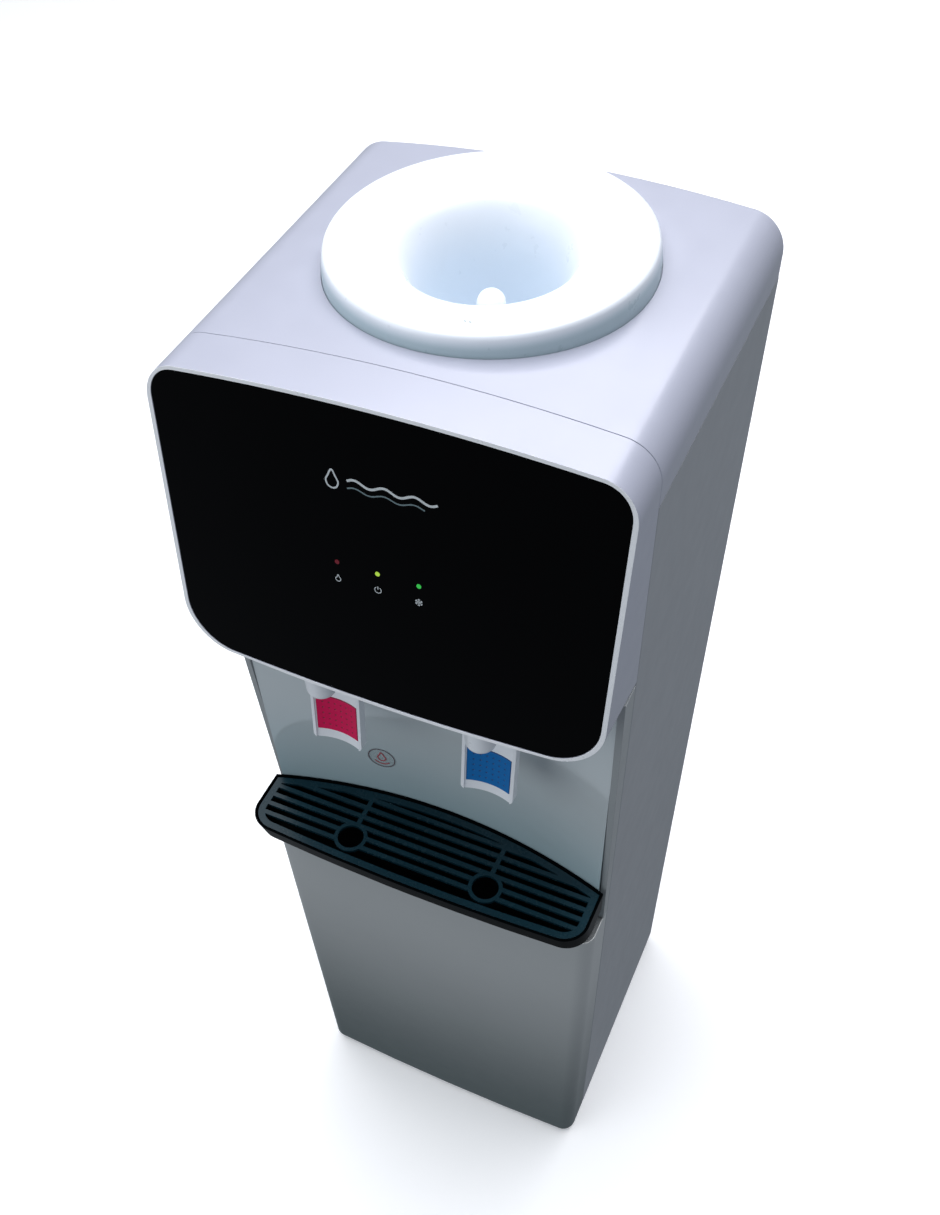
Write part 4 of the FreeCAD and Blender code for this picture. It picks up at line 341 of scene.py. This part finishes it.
# radius of the edges of each piece that has them rounded
SOFT_EDGES = {
    "head_bezel": 0.0012,
    "top_cover": 0.0004,
    "front_glass": 0.0006,
    "lower_front_panel": 0.0012,
    "tray_shelf": 0.0010,
    "bay_trims": 0.0004,
    "drip_tray": 0.0009,
    "drip_grille": 0.0007,
    "hot_paddle": 0.0006,
    "cold_paddle": 0.0006,
    "hot_tap_body": 0.0006,
    "cold_tap_body": 0.0006,
}
OWN_FINISH = {"drip_grille": GRILLE_BLACK_AND_SHEEN, "tray_shelf": SHELF_FINISH}
LEDGE_INSET = 0.0015        # the panel's rounded edge keeps its own finish
RIM_FACING = 0.6            # how squarely a face of the rim looks forward
LEDGE_FACING = 0.98         # how squarely a face of the ledge looks up
RIM_REACH = 0.012           # how far behind the glass's face the rim goes


def brighten_rim(mesh):
    """The narrow band round the glass: its own bright silver, made brighter by a painted highlight where
    it catches the front light.
    """
    low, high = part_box("front_glass")
    lean = (high.y - low.y) / (high.z - low.z)
    mesh.materials.append(RIM_SILVER_AND_HIGHLIGHT)
    for face in mesh.polygons:
        behind = face.center.y - low.y - lean * (face.center.z - low.z)
        if face.normal.y < -RIM_FACING and behind < RIM_REACH:
            face.material_index = 1


def shade_ledge(mesh):
    """The top of the lower panel, painted darker: painted shade under the tray."""
    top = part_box("lower_front_panel")[1].z
    mesh.materials.append(LEDGE_FINISH)
    for face in mesh.polygons:
        if face.normal.z > LEDGE_FACING and face.center.z > top - LEDGE_INSET:
            face.material_index = 1


# ---------------------------------------------------------------- drawn lines
X_AXIS, Y_AXIS, Z_AXIS = Vector((1, 0, 0)), Vector((0, 1, 0)), Vector((0, 0, 1))
PRINT_START = 0.05          # how far before a surface the lines dropped onto it start
PRINT_LIFT = 0.00005        # how far printed lines stand out


def surface_tree(piece):
    """The piece's faces, to find where a line meets them."""
    mesh = piece.data
    return BVHTree.FromPolygons([piece.matrix_world @ v.co for v in mesh.vertices],
                                [tuple(p.vertices) for p in mesh.polygons])


def stroke_sides(points, width):
    """The two edges of a line of some width; one that comes back to its start is closed."""
    closed = points[0] == points[-1]
    run = points[:-1] if closed else points
    count = len(run)
    sides = []
    for i, (x, y) in enumerate(run):
        before = run[(i - 1) % count] if closed or i > 0 else run[i]
        after = run[(i + 1) % count] if closed or i < count - 1 else run[i]
        dx, dy = after[0] - before[0], after[1] - before[1]
        share = width / 2 / math.hypot(dx, dy)
        sides.append(((x - dy * share, y + dx * share), (x + dy * share, y - dx * share)))
    return sides, closed


def drawn(name, lines, width, onto, origin, across, up, body, slot, finish):
    """Thin raised lines on a surface, given in a plane before it and dropped onto it."""
    away = across.cross(up).normalized()
    tree = surface_tree(onto)
    points, faces = [], []
    for path in lines:
        sides, closed = stroke_sides(path, width)
        start, count = len(points), len(sides)
        for pair in sides:
            for u, v in pair:
                hit = tree.ray_cast(origin + across * u + up * v + away * PRINT_START, -away)[0]
                points += [hit + away * PRINT_LIFT, hit]
        for i in range(count if closed else count - 1):
            a, b = start + 4 * i, start + 4 * ((i + 1) % count)
            for j, k in ((0, 2), (2, 3), (3, 1), (1, 0)):
                faces.append((a + j, b + j, b + k, a + k))
        if not closed:
            last = start + 4 * (count - 1)
            faces += [(start, start + 2, start + 3, start + 1), (last, last + 1, last + 3, last + 2)]
    mesh = bpy.data.meshes.new(name)
    mesh.from_pydata(points, [], faces)
    outward(mesh)
    add_piece(name, mesh, body, slot, finish=finish)


def outward(mesh, merge=0.0):
    """Turns every face outwards, once points nearer to each other than merge are made one."""
    work = bmesh.new()
    work.from_mesh(mesh)
    if merge:
        bmesh.ops.remove_doubles(work, verts=work.verts, dist=merge)
    bmesh.ops.recalc_face_normals(work, faces=work.faces)
    work.to_mesh(mesh)
    work.free()


def arc_line(radius, start, end, steps=40):
    """An arc about the origin, between two angles in degrees."""
    turns = [math.radians(start + (end - start) * i / steps) for i in range(steps + 1)]
    return [(radius * math.cos(a), radius * math.sin(a)) for a in turns]


def circle_line(radius):
    """A closed circle about the origin."""
    line = arc_line(radius, 0.0, 360.0, 48)
    return line[:-1] + line[:1]


def closed_curve(points, steps=6):
    """Smooth closed line through the points."""
    line = smooth_line(points[-2:] + points + points[:3], steps)
    line = line[2 * steps:(2 + len(points)) * steps]
    return line + line[:1]


def moved(path, u, v, scale):
    """The path made larger or smaller, then moved."""
    return [(u + x * scale, v + y * scale) for x, y in path]


DROPLET = closed_curve([(0.0, 1.0), (0.42, 0.28), (0.66, -0.25), (0.46, -0.80), (0.0, -1.0),
                        (-0.46, -0.80), (-0.66, -0.25), (-0.42, 0.28)])
FLAME = closed_curve([(0.05, 1.0), (0.30, 0.45), (0.66, 0.0), (0.62, -0.62), (0.0, -1.0),
                      (-0.62, -0.62), (-0.62, -0.05), (-0.30, 0.12), (-0.20, 0.55)])
POWER = [arc_line(0.85, 125.0, 415.0), [(0.0, 0.15), (0.0, 1.05)]]
ICON_SIZE = 0.0026
ICON_LINE = 0.00055
ICON_DROP = 0.0140          # from the top of a lamp to the middle of its pictogram
MARK_Z = 0.929              # middle of the droplet mark on the glass
MARK_X = -0.028
MARK_SIZE = 0.0062
MARK_LINE = 0.0011
WAVE_START_X = -0.018
WAVE_STEPS = 60
# end, height, swing, number of waves, width and finish of each wave after the droplet
WAVES = {
    "print_wave": (0.040, 0.0012, 0.0016, 3.0, 0.0016, PRINT_WHITE),
    "print_ripple": (0.032, -0.0038, 0.0012, 2.6, 0.0009, PRINT_GREY),
}


ARM_START, BRANCH_START, BRANCH_END, BRANCH_SPREAD = 0.12, 0.58, 0.88, 0.26


def snowflake():
    """Six arms of length 1, each with two branches."""
    lines = []
    for i in range(6):
        angle = math.radians(60 * i + 30)
        out, side = (math.cos(angle), math.sin(angle)), (-math.sin(angle), math.cos(angle))
        lines.append([(ARM_START * out[0], ARM_START * out[1]), out])
        for turn in (-1, 1):
            tip = [BRANCH_END * o + BRANCH_SPREAD * turn * s for o, s in zip(out, side)]
            lines.append([(BRANCH_START * out[0], BRANCH_START * out[1]), tuple(tip)])
    return lines


def wave_line(start, end, height, swing, waves):
    """A level sine wave."""
    line = []
    for i in range(WAVE_STEPS + 1):
        share = i / WAVE_STEPS
        place = height + swing * math.sin(2 * math.pi * waves * share)
        line.append((start + (end - start) * share, place))
    return line


def make_glass_prints():
    """Pictograms under the lamps and a plain droplet mark, printed on the glass."""
    glass = nodes["front_glass"]
    low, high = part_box("front_glass")
    slope = Vector((0, (high.y - low.y) / (high.z - low.z), 1)).normalized()

    def printed(name, lines, width, origin, finish):
        drawn(name, lines, width, glass, origin, X_AXIS, slope, "cabinet", "white_plastic", finish)

    icons = {"hot": [FLAME], "power": POWER, "cold": snowflake()}
    for name, lines in icons.items():
        first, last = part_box(name + "_indicator")
        origin = Vector(((first.x + last.x) / 2, first.y, last.z - ICON_DROP))
        scaled = [moved(path, 0.0, 0.0, ICON_SIZE) for path in lines]
        printed("print_" + name, scaled, ICON_LINE, origin, PRINT_WHITE)
    origin = Vector((0.0, low.y, MARK_Z))
    printed("print_droplet", [moved(DROPLET, MARK_X, 0.0, MARK_SIZE)], MARK_LINE, origin, PRINT_WHITE)
    for name, (end, height, swing, waves, width, finish) in WAVES.items():
        printed(name, [wave_line(WAVE_START_X, end, height, swing, waves)], width, origin, finish)


# lines of the label's print, in half heights of its film
LABEL_RING = [circle_line(0.90)]
LABEL_RING_LINE = 0.055
LABEL_DROP = [moved(DROPLET, 0.0, 0.14, 0.42), arc_line(0.60, 215.0, 325.0)]
LABEL_DROP_LINE = 0.09


def make_label_print():
    """Ring, droplet and underline printed on the clear film of the bay's label."""
    film = nodes["bay_label"]
    low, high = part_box("bay_label")
    size = (high.z - low.z) / 2
    origin = Vector(((low.x + high.x) / 2, low.y, (low.z + high.z) / 2))
    for name, lines, width, finish in (("label_ring", LABEL_RING, LABEL_RING_LINE, PRINT_DARK),
                                       ("label_drop", LABEL_DROP, LABEL_DROP_LINE, PRINT_RED)):
        scaled = [moved(path, 0.0, 0.0, size) for path in lines]
        drawn(name, scaled, size * width, film, origin, X_AXIS, Z_AXIS, "cabinet", "label_film", finish)


# ---------------------------------------------------------------- pads
PAD_CELLS = 96
PAD_START = 0.02            # how far before the pad the grid dropped onto it starts
PAD_INSIDE = 0.992          # share of the CAD pad that the grid covers
PAD_DEPTH = 0.0032          # front to rear of the dished pad, square to its lean
DIMPLE_ROWS = 5
DIMPLE_COLUMNS = 6
DIMPLE_RADIUS = 0.0011
DIMPLE_DEPTH = 0.0008
SHADED_DIMPLE_SHARE = 0.75         # of a dimple's radius that is painted darker, as painted shade in the hollow
PAD_OUTLINE = 0.0005        # width of the darker line round the pad: painted shade in its gap
PAD_EDGE_RADIUS = 0.0005
PAD_THICKNESS = 0.0011


def dimple_distance(u, v, half):
    """From a place on the pad to the middle of the nearest dimple."""
    nearest = []
    for place, count in ((u, DIMPLE_COLUMNS), (v, DIMPLE_ROWS)):
        pitch = 2 * half / (count + 1)
        step = min(count, max(1, round((place + half) / pitch)))
        nearest.append(place + half - step * pitch)
    return math.hypot(*nearest)


def pad_relief(u, v, half):
    """How far the pad's face lies back at a place: a rounded border and a grid of dimples."""
    back = 0.0
    edge = half - max(abs(u), abs(v))
    if edge < PAD_EDGE_RADIUS:
        height = math.sqrt(max(0.0, PAD_EDGE_RADIUS ** 2 - (PAD_EDGE_RADIUS - edge) ** 2))
        back = PAD_EDGE_RADIUS - height
    off = dimple_distance(u, v, half)
    if off < DIMPLE_RADIUS:
        back = max(back, DIMPLE_DEPTH * 0.5 * (1 + math.cos(math.pi * off / DIMPLE_RADIUS)))
    return back


def make_pad(tap):
    """The coloured pad with its dimples, over the face of the CAD pad."""
    node = tap + "_paddle_pad"
    low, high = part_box(node)
    half = (high.x - low.x) / 2
    centre = (low + high) / 2
    tree = surface_tree(nodes[node])
    lean = math.asin((high.y - low.y - PAD_DEPTH) / (2 * half))
    slope = Vector((0, math.sin(lean), math.cos(lean)))
    away = X_AXIS.cross(slope)
    middle = tree.ray_cast(centre + away * PAD_START, -away)[0]
    front, rear = [], []
    for j in range(PAD_CELLS + 1):
        v = half * (2 * j / PAD_CELLS - 1)
        for i in range(PAD_CELLS + 1):
            u = half * (2 * i / PAD_CELLS - 1)
            start = middle + X_AXIS * u * PAD_INSIDE + slope * v * PAD_INSIDE
            hit = tree.ray_cast(start + away * PAD_START, -away)[0]
            front.append(hit - away * pad_relief(u, v, half))
            rear.append(hit - away * PAD_THICKNESS)
    size, count = PAD_CELLS + 1, len(front)
    faces = []
    for j in range(PAD_CELLS):
        for i in range(PAD_CELLS):
            k = j * size + i
            faces.append((k, k + 1, k + size + 1, k + size))
    faces += [tuple(k + count for k in reversed(face)) for face in faces]
    border = list(range(size))
    border += [j * size + size - 1 for j in range(1, size)]
    border += [(size - 1) * size + i for i in range(size - 2, -1, -1)]
    border += [j * size for j in range(size - 2, 0, -1)]
    for k, after in zip(border, border[1:] + border[:1]):
        faces.append((k, after, after + count, k + count))
    mesh = bpy.data.meshes.new(tap + "_pad")
    mesh.from_pydata(front + rear, [], faces)
    outward(mesh)
    mesh.shade_smooth()
    add_piece(tap + "_pad", mesh, BODIES[node], SLOTS[node], (node,))
    mesh.materials.append(PAD_SHADE_FINISHES[tap])
    # the dimples and the border take the darker colour: painted shade
    for j in range(PAD_CELLS):
        for i in range(PAD_CELLS):
            u, v = (half * (2 * (k + 0.5) / PAD_CELLS - 1) for k in (i, j))
            outline = half - max(abs(u), abs(v)) < PAD_OUTLINE
            if outline or dimple_distance(u, v, half) < DIMPLE_RADIUS * SHADED_DIMPLE_SHARE:
                mesh.polygons[j * PAD_CELLS + i].material_index = 1


def make_spring(tap):
    """The valve's return spring, copied from the CAD spring; the copy keeps its length when the valve
    opens.
    """
    node = tap + "_valve_spring"
    mesh = nodes[node].data.copy()
    mesh.name = tap + "_spring"
    piece = add_piece(tap + "_spring", mesh, BODIES[node], SLOTS[node], (node,))
    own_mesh(piece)


# ---------------------------------------------------------------- bottle seat
SEAT_WALL_SHARE = 0.0040    # outermost part of the ring, in the shade of its own rim
SKIRT_DROP = 0.029          # lower edge of the ring's rim
# distance out from the ring's radius and depth below its top, from the skirt to the ring's face
SEAT_RIM = [(0.00035, SKIRT_DROP), (0.0002, 0.0140), (-0.0010, 0.0050), (-0.0022, 0.0018),
            (-0.0045, 0.0002)]
SEAT_FACE = [(-0.0045, 0.0002), (-0.012, 0.0005)]
# radius and depth below the ring's top, down the bowl
SEAT_BOWL = [(0.080, 0.0020), (0.0680, 0.0048), (0.0585, 0.0102), (0.0518, 0.0200), (0.0470, 0.0330),
             (0.0425, 0.0480), (0.0370, 0.0660), (0.0325, 0.0810), (0.0306, 0.0905)]
# radius and height above the seat's lowest point: floor of the throat, then out round its foot
SEAT_THROAT = [(0.0305, 0.009), (0.0302, 0.0082), (0.0, 0.0082)]
SEAT_FOOT = [(0.0, 0.0056), (0.0305, 0.0056), (0.0305, 0.0), (0.0330, 0.0), (0.0330, 0.014),
             (0.0370, 0.032)]
# radius and depth below the ring's top, up the outside of the funnel
SEAT_FUNNEL = [(0.0495, 0.040), (0.0575, 0.020), (0.0660, 0.011), (0.0810, 0.006)]
# as the rim, down the inside of the skirt
SEAT_SKIRT = [(-0.0055, 0.004), (-0.0035, SKIRT_DROP), (0.00035, SKIRT_DROP)]
SEAT_WELD = 0.000001
SEAT_MARKS_X = 0.0235       # middle of the two moulded marks
SEAT_MARKS_INSET = 0.0190   # from the front of the ring
SEAT_MARK_PITCH = 0.0032
SEAT_MARK_LENGTH = 0.0016
SEAT_MARK_LINE = 0.6        # width of a mark in lengths


def make_seat():
    """The white ring with its funnel; lip, rim and throat follow the CAD seat's box."""
    low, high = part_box("bottle_seat")
    centre = ((low.x + high.x) / 2, (low.y + high.y) / 2)
    base = (high.x - low.x) / 2

    def on_rim(points):
        return [(base + out, high.z - depth) for out, depth in points]

    def below_top(points):
        return [(radius, high.z - depth) for radius, depth in points]

    def above_foot(points):
        return [(radius, low.z + rise) for radius, rise in points]

    outside = smooth_line(on_rim(SEAT_RIM), 5)
    inside = smooth_line(on_rim(SEAT_FACE) + below_top(SEAT_BOWL), 8)
    under = above_foot(SEAT_THROAT + SEAT_FOOT) + below_top(SEAT_FUNNEL) + on_rim(SEAT_SKIRT)
    mesh = revolved("seat_ring", outside[:-1] + inside + under, centre)
    outward(mesh, SEAT_WELD)
    piece = add_piece("seat_ring", mesh, "seat", "white_plastic", ("bottle_seat",), SEAT_FINISH)
    mesh.materials.append(SEAT_WALL_PAINTED_SHADE)
    # faces of the outer wall take the painted shade
    for face in mesh.polygons:
        out = math.hypot(face.center.x - centre[0], face.center.y - centre[1])
        if out > base - SEAT_WALL_SHARE:
            face.material_index = 1
    return piece


def make_seat_marks(seat_ring):
    """Two small moulded marks on the front of the ring, drawn in grey: painted shade of their moulded
    relief.
    """
    low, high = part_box("bottle_seat")
    origin = Vector((SEAT_MARKS_X, low.y + SEAT_MARKS_INSET, high.z))
    lines = []
    for side in (-1, 1):
        middle = side * SEAT_MARK_PITCH / 2
        lines.append([(middle - SEAT_MARK_LENGTH / 2, 0.0), (middle + SEAT_MARK_LENGTH / 2, 0.0)])
    drawn("seat_marks", lines, SEAT_MARK_LENGTH * SEAT_MARK_LINE, seat_ring, origin, X_AXIS, Y_AXIS,
          "seat", "white_plastic", PRINT_GREY)


# ---------------------------------------------------------------- stage
FLOOR_REACH = 7.0
SWEEP = [(FLOOR_REACH, 0.0), (FLOOR_REACH + 1.6, 0.2), (FLOOR_REACH + 2.6, 1.2),
         (FLOOR_REACH + 3.0, 3.0), (FLOOR_REACH + 3.0, 12.0)]
SWEEP_STEPS = 6
FLOOR_GLOW = 0.22
BACKDROP_GLOW = 0.65
STAGE_COLOUR = (0.92, 0.92, 0.93)
STAGE_GLOW_COLOUR = (0.95, 0.97, 1.0, 1.0)
# place, aim, size, power in watts and colour of each light
LIGHTS = {
    "overhead": ((-0.3, 0.9, 3.6), (0, 0.4, 0.6), (4.4, 4.0), 190.0, (0.98, 0.98, 1.0)),
    "front_fill": ((-1.8, -2.6, 1.6), (0, 0, 0.6), (2.6, 2.4), 28.0, (0.93, 0.98, 1.0)),
}
WORLD_COLOUR = (0.82, 0.90, 1.0, 1.0)
WORLD_STRENGTH = 0.30


def staged(name, mesh, glow):
    """A pale part of the studio, which the object neither mirrors nor is lit by."""
    stage = bpy.data.objects.new(name, mesh)
    bpy.context.scene.collection.objects.link(stage)
    mesh.materials.append(surface(name, STAGE_COLOUR, 0.80, variation=0.006, patch=1.0,
                                  Emission_Color=STAGE_GLOW_COLOUR, Emission_Strength=glow))
    stage.visible_diffuse = False
    stage.visible_glossy = False


def make_stage():
    """A white floor that sweeps up into a white wall all round."""
    floor = revolved("floor", [(0.0, 0.0), (FLOOR_REACH, 0.0)], (0.0, 0.0))
    staged("floor", floor, FLOOR_GLOW)
    backdrop = revolved("backdrop", smooth_line(SWEEP, SWEEP_STEPS), (0.0, 0.0))
    staged("backdrop", backdrop, BACKDROP_GLOW)


def area_light(name, place, aim, size, power, colour):
    data = bpy.data.lights.new(name, "AREA")
    data.shape = "RECTANGLE"
    data.size, data.size_y = size
    data.energy = power
    data.color = colour
    light = bpy.data.objects.new(name, data)
    light.location = place
    light.rotation_mode = "QUATERNION"
    light.rotation_quaternion = (Vector(aim) - Vector(place)).to_track_quat("-Z", "Y")
    bpy.context.scene.collection.objects.link(light)


def make_lights():
    """Two soft lights, a pale sky and the plain view."""
    for name, setting in LIGHTS.items():
        area_light(name, *setting)
    world = bpy.data.worlds.new("studio")
    world.use_nodes = True
    background = world.node_tree.nodes["Background"]
    background.inputs["Color"].default_value = WORLD_COLOUR
    background.inputs["Strength"].default_value = WORLD_STRENGTH
    bpy.context.scene.world = world
    bpy.context.scene.view_settings.view_transform = "Standard"


# ---------------------------------------------------------------- camera
CAMERA_PLACE = (0.277757, -0.585825, 1.379533)
# radians
CAMERA_YAW = 0.512551
CAMERA_PITCH = 0.936775
CAMERA_ROLL = -0.090454
FOCAL_SHARE = 0.97618642    # focal length over the frame's height
SENSOR = 36.0               # millimetres
SHIFT_ACROSS = 0.028176
SHIFT_UP = 0.125514


def make_camera():
    """The photograph's camera, solved from the dispenser's straight edges."""
    data = bpy.data.cameras.new("camera")
    data.sensor_width = SENSOR
    data.lens = FOCAL_SHARE * SENSOR
    data.shift_x = SHIFT_ACROSS
    data.shift_y = SHIFT_UP
    yaw, pitch, roll = CAMERA_YAW, CAMERA_PITCH, CAMERA_ROLL
    back = Vector((math.sin(yaw) * math.cos(pitch), -math.cos(yaw) * math.cos(pitch), math.sin(pitch)))
    level = Vector((math.cos(yaw), math.sin(yaw), 0.0))
    above = back.cross(level)
    right = math.cos(roll) * level + math.sin(roll) * above
    up = math.cos(roll) * above - math.sin(roll) * level
    turned = Matrix((right, up, back)).transposed().to_4x4()
    camera = bpy.data.objects.new("camera", data)
    camera.matrix_world = Matrix.Translation(CAMERA_PLACE) @ turned
    bpy.context.scene.collection.objects.link(camera)
    bpy.context.scene.camera = camera


finish_nodes()
for node, width in SOFT_EDGES.items():
    piece = softened(node, width, OWN_FINISH.get(node))
    if node == "head_bezel":
        brighten_rim(piece.data)
    if node == "lower_front_panel":
        shade_ledge(piece.data)
seat_ring = make_seat()
make_seat_marks(seat_ring)
for tap in ("hot", "cold"):
    make_pad(tap)
    make_spring(tap)
make_glass_prints()
make_label_print()
make_stage()
make_lights()
make_camera()
